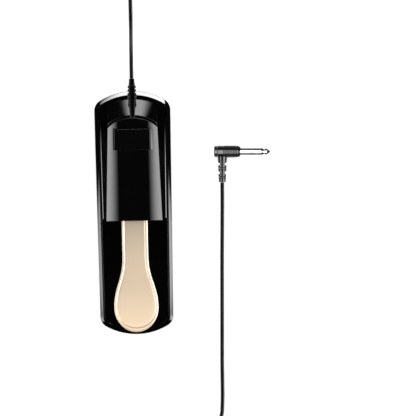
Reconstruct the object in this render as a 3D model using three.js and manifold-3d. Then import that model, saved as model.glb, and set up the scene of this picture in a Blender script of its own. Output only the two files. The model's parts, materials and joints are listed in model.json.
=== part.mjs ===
// Piano-style sustain pedal: a formed metal lever in a glossy black housing, with its spring,
// momentary switch, 1.8 m cord and right-angle 6.35 mm phone plug.
// Millimetres. The origin is under the middle of the housing, on the floor: +Z up, +Y towards
// the cord end, and +X to the right for a player behind the lever.
import * as THREE from 'three';
import { mergeVertices } from 'three/addons/utils/BufferGeometryUtils.js';
import Module from 'manifold-3d';

// Housing
const caseLength = 242;
const caseRearWidth = 75.5;
const caseFrontWidth = 73;
const endRadius = 62;
const cornerRadius = 11.5;
const rimWidth = 4.5;
const wall = 2.4;
const gap = 0.3;
const matThickness = 2.4;
const plateThickness = 2.5;
const floorThickness = 2.5;
const rimRearHeight = 42;
const rimFrontHeight = 10.5;
const rimSlopeRear = 90;
const deckDrop = 3;
const clear = 70; // past the housing on every side, where a cut or a trim may end

// Screws and rivets
const shankRadius = 1.5;
const headRadius = 3;
const headHeight = 2;
const screwReach = 13;
const rivetRadius = 1.6;
const rivetHeadRadius = 2.9;
const rivetHead = 1.2;
const smallShankRadius = 1;
const clampShankRadius = 1.2;
const clampReach = 6;

// Hood over the mechanism
const hoodFront = -7.5;
const hoodFrontHeight = 60;
const hoodRearHeight = 57;
const hoodFrontHalfWidth = 27.6;
const hoodRearHalfWidth = 24.3;
const hoodFlatHalfWidth = 14.5;
const shoulderAngle = THREE.MathUtils.degToRad(40);
const hoodRearRadius = 36.5;
const arcCentreY = 57.9;
const rampRadius = 54.8;
const rampHeight = 45.5;
const rampFootHeight = 38.8;
const rampLow = 30;
const slotTop = 46;
const slotSide = 2;
const labelHalfWidth = 19.5;
const labelFront = 62.4;
const labelRear = 84;
const labelFloor = 56;

// Lever and its pivot
const leverTail = 78;
const leverTip = -117.7;
const leverNeckHalfWidth = 12.9;
const leverPaddleHalfWidth = 21.9;
const leverPaddleY = -93.5;
const leverFlareY = -44;
const leverRearHeight = 41;
const leverPaddleHeight = 36;
const leverSheet = 2;
const leverRimDepth = 4;
const leverRimWidth = 1.8;
const pivotY = 56;
const pivotZ = 30;
const pinRadius = 3;
const pinHalfLength = 18.4;
const bushRadius = 4.4;
const bushInner = 7.4;
const flangeInner = 10.3;
const flangeRadius = 5.8;
const bushEnd = 11.4;
const clipRadius = 5;
const clipThickness = 1;
const standHalfWidth = 16;
const standSheet = 2.5;
const standTop = 36;
const standFront = 49;
const standRear = 63;
const bracketFront = 46;
const bracketRear = 66;
const bracketHalfWidth = 10;
const bracketSheet = 2;
const eyeRadius = 7;
const eyeTop = 33;
const runningGap = 0.1;

// Spring, switch and stops
const springY = 20;
const springRadius = 7;
const springWireRadius = 0.9;
const springTurns = 6;
const seatRadius = 9.5;
const hubRadius = 4.6;
const hubTipRadius = 4.2;
const hubHeight = 5;
const guideDepth = 6;
const switchY = 42;
const switchHalfWidth = 10;
const switchHalfDepth = 3.3;
const switchScrewX = 7;
const switchScrewZ = 28;
const switchSheet = 1.6;
const switchSheetTop = 33;
const plungerRadius = 1.9;
const terminalX = 5;
const wireRadius = 0.7;
const postHalfWidth = 8;
const restPostY = 72.5;
const restPostHalfDepth = 3.5;
const restPostTop = 35.2;
const pressPostHalfDepth = 4;
const pressPostTop = 29;
const pressPadTop = 32.2;

// Cord and plug
const cordRadius = 2;
const cordHeight = 2.2;
const bootHeight = 48.5;
const bootStart = 89;
const bootEnd = 133;
const bootNeckRadius = 2.4;
const bootStemRadius = 3.4;
const ribStart = 113;
const ribPitch = 3.6;
const ribRadius = 4.7;
const hankCentre = new THREE.Vector2(-40, 231);
const hankHalfRun = 28;
const hankEndRadius = 14.3;
const hankLow = 1.4;
const hankHigh = 17.4;
const plugPlace = new THREE.Vector3(89, 60, 6);
const plugTurn = THREE.MathUtils.degToRad(-1.2);
const plugRadius = 5.85;
const sleeveRadius = 6.35 / 2;
const barrelEnd = 17.9;
const sleeveEnd = 39;

const floorTop = matThickness + gap + plateThickness + gap + floorThickness;
const wasm = await Module();
wasm.setup();
const pedal = new THREE.Group();

// ---------------------------------------------------------------- materials
function finish(color, roughness, metalness) {
  return () => new THREE.MeshStandardMaterial({ color, roughness, metalness });
}
const glossBlack = finish(0x0b0b0c, 0.12, 0);
const rubberBlack = finish(0x141414, 0.75, 0);
const cordBlack = finish(0x101010, 0.45, 0);
const leverMetal = finish(0xe6d2b4, 0.22, 1);
const steel = finish(0xb9bcc0, 0.35, 1);
const zincSteel = finish(0x9fa3a8, 0.45, 1);
const nickel = finish(0xd9dadc, 0.15, 1);
const brass = finish(0xc9a24b, 0.3, 1);
const nylon = finish(0xe8e6df, 0.5, 0);
const redPlastic = finish(0xb02a20, 0.4, 0);
const feltGrey = finish(0x4c4c4e, 0.95, 0);

// ---------------------------------------------------------------- solids
function solid(geometry) {
  const bare = geometry.clone();
  bare.deleteAttribute('normal');
  bare.deleteAttribute('uv');
  const merged = mergeVertices(bare, 1e-4);
  return new wasm.Manifold(new wasm.Mesh({
    numProp: 3,
    vertProperties: merged.attributes.position.array,
    triVerts: merged.index.array,
  }));
}

function geometryOf(manifold) {
  const mesh = manifold.getMesh();
  const geometry = new THREE.BufferGeometry();
  geometry.setAttribute('position', new THREE.BufferAttribute(mesh.vertProperties, 3));
  geometry.setIndex(new THREE.BufferAttribute(mesh.triVerts, 1));
  geometry.computeVertexNormals();
  return geometry;
}

function add(name, shape, material, parent = pedal) {
  const geometry = shape.isBufferGeometry ? shape : geometryOf(shape);
  const mesh = new THREE.Mesh(geometry, material());
  mesh.name = name;
  parent.add(mesh);
  return mesh;
}

// A plan outline (X, Y) raised from low to high.
function upright(shape, low, high, curveSegments = 8) {
  const depth = high - low;
  const geometry = new THREE.ExtrudeGeometry(shape, { depth, bevelEnabled: false, curveSegments });
  return solid(geometry.translate(0, 0, low));
}

// A side outline (Y, Z) drawn from left to right.
function across(shape, left, right, curveSegments = 8) {
  const depth = right - left;
  const geometry = new THREE.ExtrudeGeometry(shape, { depth, bevelEnabled: false, curveSegments });
  const turn = new THREE.Matrix4().makeBasis(
    new THREE.Vector3(0, 1, 0), new THREE.Vector3(0, 0, 1), new THREE.Vector3(1, 0, 0));
  return solid(geometry.applyMatrix4(turn).translate(left, 0, 0));
}

// An end outline (X, Z) drawn from front to rear.
function along(shape, front, rear, curveSegments = 8) {
  const depth = rear - front;
  const geometry = new THREE.ExtrudeGeometry(shape, { depth, bevelEnabled: false, curveSegments });
  const turn = new THREE.Matrix4().makeBasis(
    new THREE.Vector3(1, 0, 0), new THREE.Vector3(0, 0, 1), new THREE.Vector3(0, -1, 0));
  return solid(geometry.applyMatrix4(turn).translate(0, rear, 0));
}

function block(low, high) {
  const size = high.map((value, k) => value - low[k]);
  const middle = high.map((value, k) => (value + low[k]) / 2);
  return solid(new THREE.BoxGeometry(...size).translate(...middle));
}

// A turned piece: profile points are (radius, distance along the axis).
function turned(profile, segments = 20) {
  return new THREE.LatheGeometry(profile.map(([r, h]) => new THREE.Vector2(r, h)), segments);
}
const turnedUp = (profile, segments) => turned(profile, segments).rotateX(Math.PI / 2);
const turnedRight = (profile, segments) => turned(profile, segments).rotateZ(-Math.PI / 2);

function rodUp(radius, x, y, low, high, segments = 12) {
  return solid(turnedUp([[0, low], [radius, low], [radius, high], [0, high]], segments)
    .translate(x, y, 0));
}

function rodAcross(radius, y, z, left, right, segments = 24) {
  return solid(turnedRight([[0, left], [radius, left], [radius, right], [0, right]], segments)
    .translate(0, y, z));
}

function rodAlong(radius, x, z, front, rear, segments = 12) {
  return solid(turned([[0, front], [radius, front], [radius, rear], [0, rear]], segments)
    .translate(x, 0, z));
}

function polygon(points) {
  return new THREE.Shape(points.map(([a, b]) => new THREE.Vector2(a, b)));
}

// A tube with an eight-sided section along a smooth line through the points.
function tube(points, radius, steps, sides = 8) {
  const section = new THREE.Shape();
  for (let k = 0; k < sides; k += 1) {
    const angle = (2 * Math.PI * k) / sides;
    const corner = [radius * Math.cos(angle), radius * Math.sin(angle)];
    if (k === 0) section.moveTo(...corner);
    else section.lineTo(...corner);
  }
  section.closePath();
  const places = points.map((point) => new THREE.Vector3(...point));
  const path = new THREE.CatmullRomCurve3(places, false, 'centripetal');
  return new THREE.ExtrudeGeometry(section, { steps, extrudePath: path, bevelEnabled: false });
}

// ---------------------------------------------------------------- shared outlines
// The housing seen from above, drawn in by inset: long sides that taper a little to the front,
// and two bowed ends joined to them by rounded corners.
function caseOutline(inset) {
  const shape = new THREE.Shape();
  const corner = cornerRadius - inset;
  const bow = endRadius - inset;
  const bowCentre = caseLength / 2 - endRadius;
  for (const [end, width] of [[1, caseRearWidth], [-1, caseFrontWidth]]) {
    const cornerX = width / 2 - cornerRadius;
    const cornerY = bowCentre + Math.sqrt((endRadius - cornerRadius) ** 2 - cornerX ** 2);
    const start = end === 1 ? 0 : Math.PI;
    const lean = Math.atan2(cornerY - bowCentre, cornerX);
    shape.absarc(end * cornerX, end * cornerY, corner, start, start + lean);
    shape.absarc(0, end * bowCentre, bow, start + lean, start + Math.PI - lean);
    shape.absarc(-end * cornerX, end * cornerY, corner, start + Math.PI - lean, start + Math.PI);
  }
  shape.closePath();
  return shape;
}

function ease(t) {
  const s = THREE.MathUtils.clamp(t, 0, 1);
  return s * s * (3 - 2 * s);
}

// The rim is high at the cord end and sweeps down to the low front.
function rimHeight(y) {
  const rise = ease((y + caseLength / 2) / (rimSlopeRear + caseLength / 2));
  return rimFrontHeight + (rimRearHeight - rimFrontHeight) * rise;
}

function belowLine(height, low, front, rear, steps = 14) {
  const points = [[front, low], [rear, low]];
  for (let k = 0; k <= steps; k += 1) {
    const y = rear + ((front - rear) * k) / steps;
    points.push([y, height(y)]);
  }
  return polygon(points);
}

// ---------------------------------------------------------------- housing
const half = caseLength / 2;
const caseScrews = { front: { x: 28.4, y: 8 }, rear: { x: 27.6, y: 84 } };

function eachCaseScrew(visit) {
  for (const [end, place] of Object.entries(caseScrews)) {
    for (const [side, sign] of [['left', -1], ['right', 1]]) {
      visit(`${end}_${side}`, sign * place.x, place.y);
    }
  }
}

function mainCase() {
  const low = matThickness + gap;
  const outside = upright(caseOutline(0), low, rimRearHeight + 1)
    .intersect(across(belowLine(rimHeight, low - 1, -half - 1, half + 1), -half, half));
  const inside = upright(caseOutline(rimWidth), floorTop, rimRearHeight + 2, 6);
  const under = upright(caseOutline(wall), low - 1, floorTop - floorThickness, 6);
  let body = outside.subtract(inside).subtract(under);
  body = body
    .add(block([-postHalfWidth, restPostY - restPostHalfDepth, floorTop - 1],
      [postHalfWidth, restPostY + restPostHalfDepth, restPostTop]))
    .add(block([-postHalfWidth, -pressPostHalfDepth, floorTop - 1],
      [postHalfWidth, pressPostHalfDepth, pressPostTop]));
  eachCaseScrew((name, x, y) => {
    body = body.subtract(rodUp(shankRadius + gap, x, y, 0, floorTop + 1));
  });
  for (const y of standScrews) {
    body = body.subtract(rodUp(shankRadius + gap, 0, y, 0, floorTop + 1));
  }
  return body;
}

function basePlate() {
  const low = matThickness + gap;
  let body = upright(caseOutline(wall + gap), low, low + plateThickness, 5);
  eachCaseScrew((name, x, y) => {
    body = body.subtract(rodUp(headRadius + gap, x, y, 0, 2 * low + plateThickness));
  });
  return body;
}

function caseScrew(x, y, high) {
  const low = matThickness + 2 * gap;
  const underHead = low + headHeight;
  return turnedUp([[0, low], [headRadius, low], [headRadius, underHead],
    [shankRadius, underHead], [shankRadius, high], [0, high]], 12).translate(x, y, 0);
}

// ---------------------------------------------------------------- top cover
// Hood section: a flat top, round shoulders that stop at a crisp edge, and upright sides.
function hoodSection(y, inset, low) {
  const t = (y - hoodFront) / (arcCentreY + hoodRearRadius - hoodFront);
  const halfWidth = THREE.MathUtils.lerp(hoodFrontHalfWidth, hoodRearHalfWidth, t) - inset;
  const top = THREE.MathUtils.lerp(hoodFrontHeight, hoodRearHeight, t) - inset;
  const radius = (halfWidth - hoodFlatHalfWidth) / Math.sin(shoulderAngle);
  const points = [];
  for (let k = 0; k <= 5; k += 1) {
    const angle = shoulderAngle * (1 - k / 5);
    points.push([hoodFlatHalfWidth + radius * Math.sin(angle), top - radius * (1 - Math.cos(angle))]);
  }
  const right = [[halfWidth, low], ...points];
  const left = right.map(([x, z]) => [-x, z]).reverse();
  return [...right, ...left].map(([x, z]) => new THREE.Vector3(x, y, z));
}

// A closed solid between two sections with equal numbers of points, front section first.
function between(front, rear) {
  const count = front.length;
  const triangles = [];
  for (let k = 0; k < count; k += 1) {
    const next = (k + 1) % count;
    triangles.push(k, count + k, next, next, count + k, count + next);
  }
  for (let k = 1; k < count - 1; k += 1) {
    triangles.push(0, k, k + 1, count, count + k + 1, count + k);
  }
  const geometry = new THREE.BufferGeometry().setFromPoints([...front, ...rear]);
  geometry.setIndex(triangles);
  return solid(geometry);
}

function hoodBody(inset, low, front) {
  const rear = arcCentreY + hoodRearRadius + 2;
  const plan = new THREE.Shape();
  const reach = hoodRearRadius - inset;
  const side = hoodFrontHalfWidth + 2;
  const swing = Math.acos(side / reach);
  plan.moveTo(-side, front);
  plan.lineTo(side, front);
  plan.absarc(0, arcCentreY, reach, swing, Math.PI - swing);
  plan.closePath();
  return between(hoodSection(front, inset, low), hoodSection(rear, inset, low))
    .intersect(upright(plan, low - 1, hoodFrontHeight + 1, 12));
}

function ramp(inset) {
  const foot = rampRadius - inset;
  const side = hoodRearHalfWidth - inset;
  const profile = [[0, rampLow], [foot, rampLow], [foot, rampFootHeight - inset],
    [hoodRearRadius - 0.5, rampHeight - inset], [0, rampHeight - inset]];
  return solid(turnedUp(profile, 56).translate(0, arcCentreY, 0))
    .intersect(block([-side, arcCentreY + 6, rampLow - 1], [side, half, clear]));
}

const caseBossRadius = 3.2;
const clampBossRadius = 2.8;

function topCover() {
  const deckTop = (y) => rimHeight(y) - deckDrop;
  const underDeck = (y) => deckTop(y) - wall;
  const plan = caseOutline(rimWidth + gap);
  const deck = upright(plan, 0, clear, 6)
    .intersect(across(belowLine(deckTop, 0, hoodFront, half), -half, half))
    .subtract(across(belowLine(underDeck, -1, hoodFront - 1, half + 1), -half - 1, half + 1));
  const apron = upright(plan, floorTop + gap, deckTop(hoodFront) - 1, 6)
    .intersect(block([-half, hoodFront, 0], [half, hoodFront + wall, clear]));
  const hoodLow = underDeck(hoodFront);
  let body = deck.add(apron).add(ramp(0)).add(hoodBody(0, hoodLow, hoodFront))
    .subtract(ramp(wall))
    .subtract(hoodBody(wall, 12, hoodFront + wall));
  eachCaseScrew((name, x, y) => {
    body = body.add(rodUp(caseBossRadius, x, y, floorTop + gap, deckTop(y) - 1))
      .subtract(rodUp(shankRadius + gap, x, y, 0, floorTop + screwReach + 1));
  });
  for (const x of clampScrews) {
    body = body.add(rodUp(clampBossRadius, x, clampY, clampTop + gap, hoodRearHeight - 1))
      .subtract(rodUp(clampShankRadius + gap, x, clampY, 0, clampTop + clampReach + 1));
  }
  const slot = block([-leverNeckHalfWidth - slotSide, hoodFront - 1, 0],
    [leverNeckHalfWidth + slotSide, hoodFront + wall + 1, slotTop]);
  const bootHole = rodAlong(bootNeckRadius + gap, 0, bootHeight, bootStart - 1, bootStart + 10);
  const label = block([-labelHalfWidth, labelFront, labelFloor], [labelHalfWidth, labelRear, clear]);
  return body.subtract(slot).subtract(bootHole).subtract(label);
}

// ---------------------------------------------------------------- lever
// The lever seen from above: an even neck that flares to a round paddle.
function leverOutline(inset) {
  const neck = leverNeckHalfWidth - inset;
  const paddle = leverPaddleHalfWidth - inset;
  const flare = (leverFlareY - leverPaddleY) * 0.42;
  const reach = leverPaddleY - leverTip - inset;
  const shape = new THREE.Shape();
  shape.moveTo(-neck, leverTail - inset);
  shape.lineTo(-neck, leverFlareY);
  shape.bezierCurveTo(-neck, leverFlareY - flare, -paddle, leverPaddleY + flare, -paddle, leverPaddleY);
  shape.absellipse(0, leverPaddleY, paddle, reach, Math.PI, 2 * Math.PI);
  shape.bezierCurveTo(paddle, leverPaddleY + flare, neck, leverFlareY - flare, neck, leverFlareY);
  shape.lineTo(neck, leverTail - inset);
  shape.closePath();
  return shape;
}

// The lever is level inside the hood, dips to the paddle and is level again under the foot.
function leverTop(y) {
  return leverRearHeight - (leverRearHeight - leverPaddleHeight) * ease((-5 - y) / 65);
}

function leverBand(depth) {
  const front = leverTip - 2;
  const rear = leverTail + 2;
  const low = 10;
  const under = belowLine((y) => leverTop(y) - depth, low - 1, front - 1, rear + 1, 20);
  return across(belowLine(leverTop, low, front, rear, 20), -half, half)
    .subtract(across(under, -half - 1, half + 1));
}

function lever() {
  const plan = upright(leverOutline(0), 0, clear, 10);
  const rim = plan.subtract(upright(leverOutline(leverRimWidth), -1, clear + 1, 10))
    .intersect(leverBand(leverRimDepth))
    .intersect(block([-half, leverTip - 1, 0], [half, hoodFront, clear]));
  let body = plan.intersect(leverBand(leverSheet)).add(rim);
  for (const y of rivets) body = body.subtract(rodUp(rivetRadius + gap, 0, y, pivotZ, clear));
  return body;
}

const rivets = [50, 62];
const bracketTop = leverRearHeight - leverSheet - gap;

function leverBracket() {
  const cheek = new THREE.Shape();
  cheek.moveTo(bracketFront, bracketTop);
  cheek.lineTo(bracketFront, eyeTop);
  cheek.absarc(pivotY, pivotZ, eyeRadius, Math.PI, 2 * Math.PI);
  cheek.lineTo(bracketRear, eyeTop);
  cheek.lineTo(bracketRear, bracketTop);
  cheek.closePath();
  const side = bracketHalfWidth;
  let body = across(cheek, -side, bracketSheet - side).add(across(cheek, side - bracketSheet, side))
    .add(block([-side, bracketFront, bracketTop - bracketSheet], [side, bracketRear, bracketTop]))
    .subtract(rodAcross(bushRadius + gap, pivotY, pivotZ, -side - 1, side + 1));
  for (const y of rivets) body = body.subtract(rodUp(rivetRadius + gap, 0, y, pivotZ, clear));
  return body;
}

function leverRivet(y) {
  const low = bracketTop - bracketSheet - gap;
  const high = leverRearHeight + gap;
  const tail = low - rivetHead;
  const crown = high + rivetHead;
  return turnedUp([[0, tail], [rivetHeadRadius, tail], [rivetHeadRadius, low], [rivetRadius, low],
    [rivetRadius, high], [rivetHeadRadius, high], [rivetHeadRadius - 0.5, crown], [0, crown]], 12)
    .translate(0, y, 0);
}

// ---------------------------------------------------------------- pivot
const standScrews = [51.5, 60.5];

function pivotStand() {
  const low = floorTop + gap;
  const side = standHalfWidth;
  const inner = side - standSheet;
  const outline = polygon([[-side, low], [side, low], [side, standTop], [inner, standTop],
    [inner, low + standSheet], [-inner, low + standSheet], [-inner, standTop], [-side, standTop]]);
  let body = along(outline, standFront, standRear)
    .subtract(rodAcross(pinRadius + runningGap, pivotY, pivotZ, -side - 4, side + 4));
  for (const y of standScrews) body = body.subtract(rodUp(shankRadius + gap, 0, y, 0, 2 * floorTop));
  return body;
}

function standScrew(y) {
  const under = floorTop + gap + standSheet + gap;
  const end = floorTop - 2;
  const head = headRadius - 0.6;
  return turnedUp([[0, end], [shankRadius, end], [shankRadius, under], [head, under],
    [head, under + 1.2], [0, under + 1.8]], 12).translate(0, y, 0);
}

// A bush runs on the pin and sits in one cheek of the lever's bracket; sign is its side.
function pivotBush(sign) {
  const bore = pinRadius + runningGap;
  const bush = turnedRight([[bore, bushInner], [bushRadius, bushInner], [bushRadius, flangeInner],
    [flangeRadius, flangeInner], [flangeRadius, bushEnd], [bore, bushEnd], [bore, bushInner]], 24);
  if (sign < 0) bush.rotateZ(Math.PI);
  return bush.translate(0, pivotY, pivotZ);
}

function pivotClip(sign) {
  const bore = pinRadius + runningGap;
  const inner = standHalfWidth + gap;
  const outer = inner + clipThickness;
  const clip = turnedRight([[bore, inner], [clipRadius, inner], [clipRadius, outer], [bore, outer],
    [bore, inner]], 24);
  if (sign < 0) clip.rotateZ(Math.PI);
  return clip.translate(0, pivotY, pivotZ);
}

// ---------------------------------------------------------------- spring and stops
const seatTop = floorTop + gap + 2;

function returnSpring() {
  const low = seatTop + gap + springWireRadius;
  const high = leverRearHeight - leverSheet - gap - springWireRadius;
  const points = [];
  const perTurn = 8;
  for (let k = 0; k <= springTurns * perTurn; k += 1) {
    const angle = (2 * Math.PI * k) / perTurn;
    const z = low + ((high - low) * k) / (springTurns * perTurn);
    points.push([springRadius * Math.cos(angle), springY + springRadius * Math.sin(angle), z]);
  }
  return tube(points, springWireRadius, springTurns * 14, 6);
}

function springSeat() {
  const low = floorTop + gap;
  const hubTop = seatTop + hubHeight;
  return turnedUp([[0, low], [seatRadius, low], [seatRadius, seatTop], [hubRadius, seatTop],
    [hubTipRadius, hubTop], [0, hubTop]], 20).translate(0, springY, 0);
}

function springGuide() {
  const high = leverRearHeight - leverSheet - gap;
  const low = high - guideDepth;
  return turnedUp([[0, low], [hubTipRadius, low], [hubRadius, high], [0, high]], 20)
    .translate(0, springY, 0);
}

// ---------------------------------------------------------------- switch
const switchRear = switchY + switchHalfDepth;
const switchFront = switchY - switchHalfDepth;
const switchLow = 22.5;
const switchHigh = 33.5;

function switchBody() {
  const side = switchHalfWidth;
  let body = block([-side, switchFront, switchLow], [side, switchRear, switchHigh])
    .subtract(rodUp(plungerRadius + gap, 0, switchY, switchHigh - 5.5, switchHigh + 1));
  for (const x of [-switchScrewX, switchScrewX]) {
    body = body.subtract(rodAlong(smallShankRadius + gap, x, switchScrewZ, switchFront - 1, switchRear + 1));
  }
  return body;
}

function switchPlunger() {
  const high = leverRearHeight - leverSheet - gap;
  const low = switchHigh - 3.8;
  return turnedUp([[0, low], [plungerRadius, low], [plungerRadius, high - 0.6],
    [plungerRadius - 0.6, high], [0, high]], 12).translate(0, switchY, 0);
}

function switchBracket() {
  const low = floorTop + gap;
  const rear = switchFront - gap;
  const toe = springY + seatRadius + 3 * gap;
  const inner = rear - switchSheet;
  const outline = polygon([[toe, low], [rear, low], [rear, switchSheetTop], [inner, switchSheetTop],
    [inner, low + switchSheet], [toe, low + switchSheet]]);
  let body = across(outline, -switchHalfWidth, switchHalfWidth);
  for (const x of [-switchScrewX, switchScrewX]) {
    body = body.subtract(rodAlong(smallShankRadius + gap, x, switchScrewZ, inner - 1, rear + 1));
  }
  return body;
}

function switchScrew(x) {
  const end = switchFront - 3;
  const under = switchRear + gap;
  const top = under + 1.2;
  const head = 2 * smallShankRadius;
  return turned([[0, end], [smallShankRadius, end], [smallShankRadius, under], [head, under],
    [head, top], [0, top]], 12).translate(x, 0, switchScrewZ);
}

function switchTerminal(x) {
  return block([x - 1.5, switchY - 0.4, 18], [x + 1.5, switchY + 0.4, switchLow - gap]);
}

// From the cord's inner end, over the lever's tail and down its side to a switch terminal.
function switchWire(sign) {
  const line = [[1.1, 79.5, 48.3], [5, 77.5, 48.6], [12, 76, 47.5], [18, 73.5, 42], [20.6, 69, 31],
    [21, 60, 18], [19.5, 50, 11.6], [14, 43.5, 10.6], [8, 41.6, 12], [5, 42, 17.5]];
  return tube(line.map(([x, y, z]) => [sign * x, y, z]), wireRadius, 30, 6);
}

// ---------------------------------------------------------------- cord clamp and boot
const clampY = 84.5;
const clampTop = bootHeight - cordRadius - gap;
const clampScrews = [-7, 7];
const clampHalfWidth = 10.5;
const clampBar = 2.6;

function cordClamp() {
  let body = block([-clampHalfWidth, clampY - clampBar, clampTop - clampBar],
    [clampHalfWidth, clampY + clampBar, clampTop]);
  for (const x of clampScrews) {
    body = body.subtract(rodUp(clampShankRadius + gap, x, clampY, rampLow, clear));
  }
  return body;
}

function clampScrew(x) {
  const under = clampTop - clampBar - gap;
  const low = under - 1.4;
  const head = clampShankRadius + 1.1;
  const high = clampTop + clampReach;
  return turnedUp([[0, low], [head, low], [head, under], [clampShankRadius, under],
    [clampShankRadius, high], [0, high]], 12).translate(x, clampY, 0);
}

// Moulded on the cord: a collar inside the hood's rear wall, a stem that thickens over the ramp,
// four ribs, and a short taper.
function rearBoot() {
  const neck = bootNeckRadius;
  const profile = [[0, bootStart], [4, bootStart], [4, 91.3], [neck, 91.3], [neck, 95],
    [bootStemRadius, ribStart - 0.5]];
  for (let k = 0; k < 4; k += 1) {
    const start = ribStart + ribPitch * k;
    const rib = ribRadius - 0.15 * k;
    const groove = bootStemRadius - 0.1;
    profile.push([rib, start], [rib, start + 2.2], [groove, start + 2.6], [groove, start + 3.5]);
  }
  profile.push([2.9, 129], [2.6, bootEnd], [0, bootEnd]);
  return turned(profile, 14).translate(0, 0, bootHeight);
}

// ---------------------------------------------------------------- cord
const rearRoute = [[0, bootEnd + gap, bootHeight], [0, 142, 47.6], [0, 152, 43.6], [0, 163, 35],
  [0, 174, 23.6], [0, 184, 13.6], [0, 194, 6.4], [0, 204, 3], [0, 212, cordHeight],
  [0, 220.2, cordHeight]];

const frontRoute = [[-79.1, 243, cordHeight], [-90, 243, cordHeight], [-102, 242, cordHeight],
  [-114, 237.5, cordHeight], [-124, 228.5, cordHeight], [-131, 216, cordHeight],
  [-134.5, 201, cordHeight], [-135.8, 170, cordHeight], [-136.4, 130, cordHeight],
  [-137.3, 80, cordHeight], [-138.4, 20, cordHeight], [-139.6, -40, cordHeight],
  [-140.8, -100, cordHeight], [-142, -150, cordHeight], [-142.6, -185, cordHeight],
  [-141.4, -200, cordHeight], [-136, -212, cordHeight], [-125, -219.5, cordHeight],
  [-110, -221.6, cordHeight], [-75, -221, cordHeight], [-30, -221.4, cordHeight],
  [20, -221, cordHeight], [50, -221.6, cordHeight], [66, -220.6, cordHeight],
  [77, -214.6, cordHeight], [82.6, -205, cordHeight], [84, -192, cordHeight],
  [84.6, -150, cordHeight], [85.6, -100, cordHeight], [86.6, -50, cordHeight],
  [87.6, -10, cordHeight], [88.1, 12, 4], [88.3, 29, 6]];

function hank() {
  const shape = new THREE.Shape();
  shape.absarc(hankHalfRun, 0, hankEndRadius, -Math.PI / 2, Math.PI / 2);
  shape.absarc(-hankHalfRun, 0, hankEndRadius, Math.PI / 2, 1.5 * Math.PI);
  shape.closePath();
  return geometryOf(upright(shape, hankLow, hankHigh, 10)).translate(hankCentre.x, hankCentre.y, 0);
}

function hankTie() {
  const strap = 0.8;
  const side = 4;
  const low = hankLow - gap - strap;
  const high = hankHigh + gap + strap;
  const reach = hankEndRadius + gap + strap;
  return block([-side, -reach, low], [side, reach, high])
    .subtract(block([-side - 1, strap - reach, low + strap], [side + 1, reach - strap, high - strap]))
    .translate([hankCentre.x, hankCentre.y, 0]);
}

// ---------------------------------------------------------------- plug
// Its own frame: +X towards the tip, the cord leaving along -Y, and the two axes crossing at 0.
function plugPieces(plug) {
  const barrel = [[0, -5], [plugRadius - 0.5, -5], [plugRadius, -4.5], [plugRadius, 15.6],
    [plugRadius - 0.7, 17.2], [plugRadius - 2, barrelEnd], [0, barrelEnd]];
  add('plug_barrel', turnedRight(barrel, 24), rubberBlack, plug);
  const cap = [[0, -8.3], [4.6, -8.3], [plugRadius - 0.3, -7.4], [plugRadius - 0.3, -5.3], [0, -5.3]];
  add('plug_cap', turnedRight(cap, 24), rubberBlack, plug);
  const sleeveStart = barrelEnd + gap;
  const sleeve = [[0, sleeveStart], [sleeveRadius, sleeveStart], [sleeveRadius, sleeveEnd], [0, sleeveEnd]];
  add('plug_sleeve', turnedRight(sleeve, 20), nickel, plug);
  const ringStart = sleeveEnd + gap;
  const ringEnd = sleeveEnd + 1.2;
  const ring = [[0, ringStart], [sleeveRadius, ringStart], [sleeveRadius - 0.1, ringEnd], [0, ringEnd]];
  add('plug_insulator', turnedRight(ring, 20), rubberBlack, plug);
  const tip = [[0, 40.5], [2.9, 40.5], [1.9, 41.8], [2.9, 43], [sleeveRadius, 43.8], [2.9, 44.6],
    [0.6, 47.8], [0, 48]];
  add('plug_tip', turnedRight(tip, 20), nickel, plug);
  const boot = [[0, -30.6], [3.5, -30.6], [4.6, -9], [4.6, -plugRadius - gap], [0, -plugRadius - gap]];
  add('plug_boot', turned(boot, 16), rubberBlack, plug);
}

// ---------------------------------------------------------------- assembly
add('rubber_mat', upright(caseOutline(1), 0, matThickness, 5), rubberBlack);
add('base_plate', basePlate(), zincSteel);
add('main_case', mainCase(), glossBlack);
add('top_cover', topCover(), glossBlack);
add('label_plate', block([-labelHalfWidth + gap, labelFront + gap, labelFloor + gap],
  [labelHalfWidth - gap, labelRear - gap, labelFloor + 0.9]), glossBlack);
eachCaseScrew((name, x, y) => {
  add(`case_screw_${name}`, caseScrew(x, y, floorTop + screwReach), zincSteel);
});

add('lever', lever(), leverMetal);
add('lever_bracket', leverBracket(), zincSteel);
add('lever_rivet_front', leverRivet(rivets[0]), zincSteel);
add('lever_rivet_rear', leverRivet(rivets[1]), zincSteel);
add('spring_guide', springGuide(), nylon);

add('pivot_stand', pivotStand(), zincSteel);
add('pivot_pin', rodAcross(pinRadius, pivotY, pivotZ, -pinHalfLength, pinHalfLength), steel);
for (const [side, sign] of [['left', -1], ['right', 1]]) {
  add(`pivot_bush_${side}`, pivotBush(sign), nylon);
  add(`pivot_clip_${side}`, pivotClip(sign), steel);
}
add('stand_screw_front', standScrew(standScrews[0]), zincSteel);
add('stand_screw_rear', standScrew(standScrews[1]), zincSteel);

add('return_spring', returnSpring(), steel);
add('spring_seat', springSeat(), nylon);
add('rest_pad', block([-postHalfWidth, restPostY - restPostHalfDepth, restPostTop + gap],
  [postHalfWidth, restPostY + restPostHalfDepth, leverRearHeight - leverSheet - gap]), feltGrey);
add('press_pad', block([-postHalfWidth, -pressPostHalfDepth, pressPostTop + gap],
  [postHalfWidth, pressPostHalfDepth, pressPadTop]), rubberBlack);

add('switch_body', switchBody(), redPlastic);
add('switch_plunger', switchPlunger(), nylon);
add('switch_bracket', switchBracket(), zincSteel);
for (const [side, sign] of [['left', -1], ['right', 1]]) {
  add(`switch_screw_${side}`, switchScrew(sign * switchScrewX), steel);
  add(`switch_terminal_${side}`, switchTerminal(sign * terminalX), brass);
  add(`switch_wire_${side}`, switchWire(sign), cordBlack);
}

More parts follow.
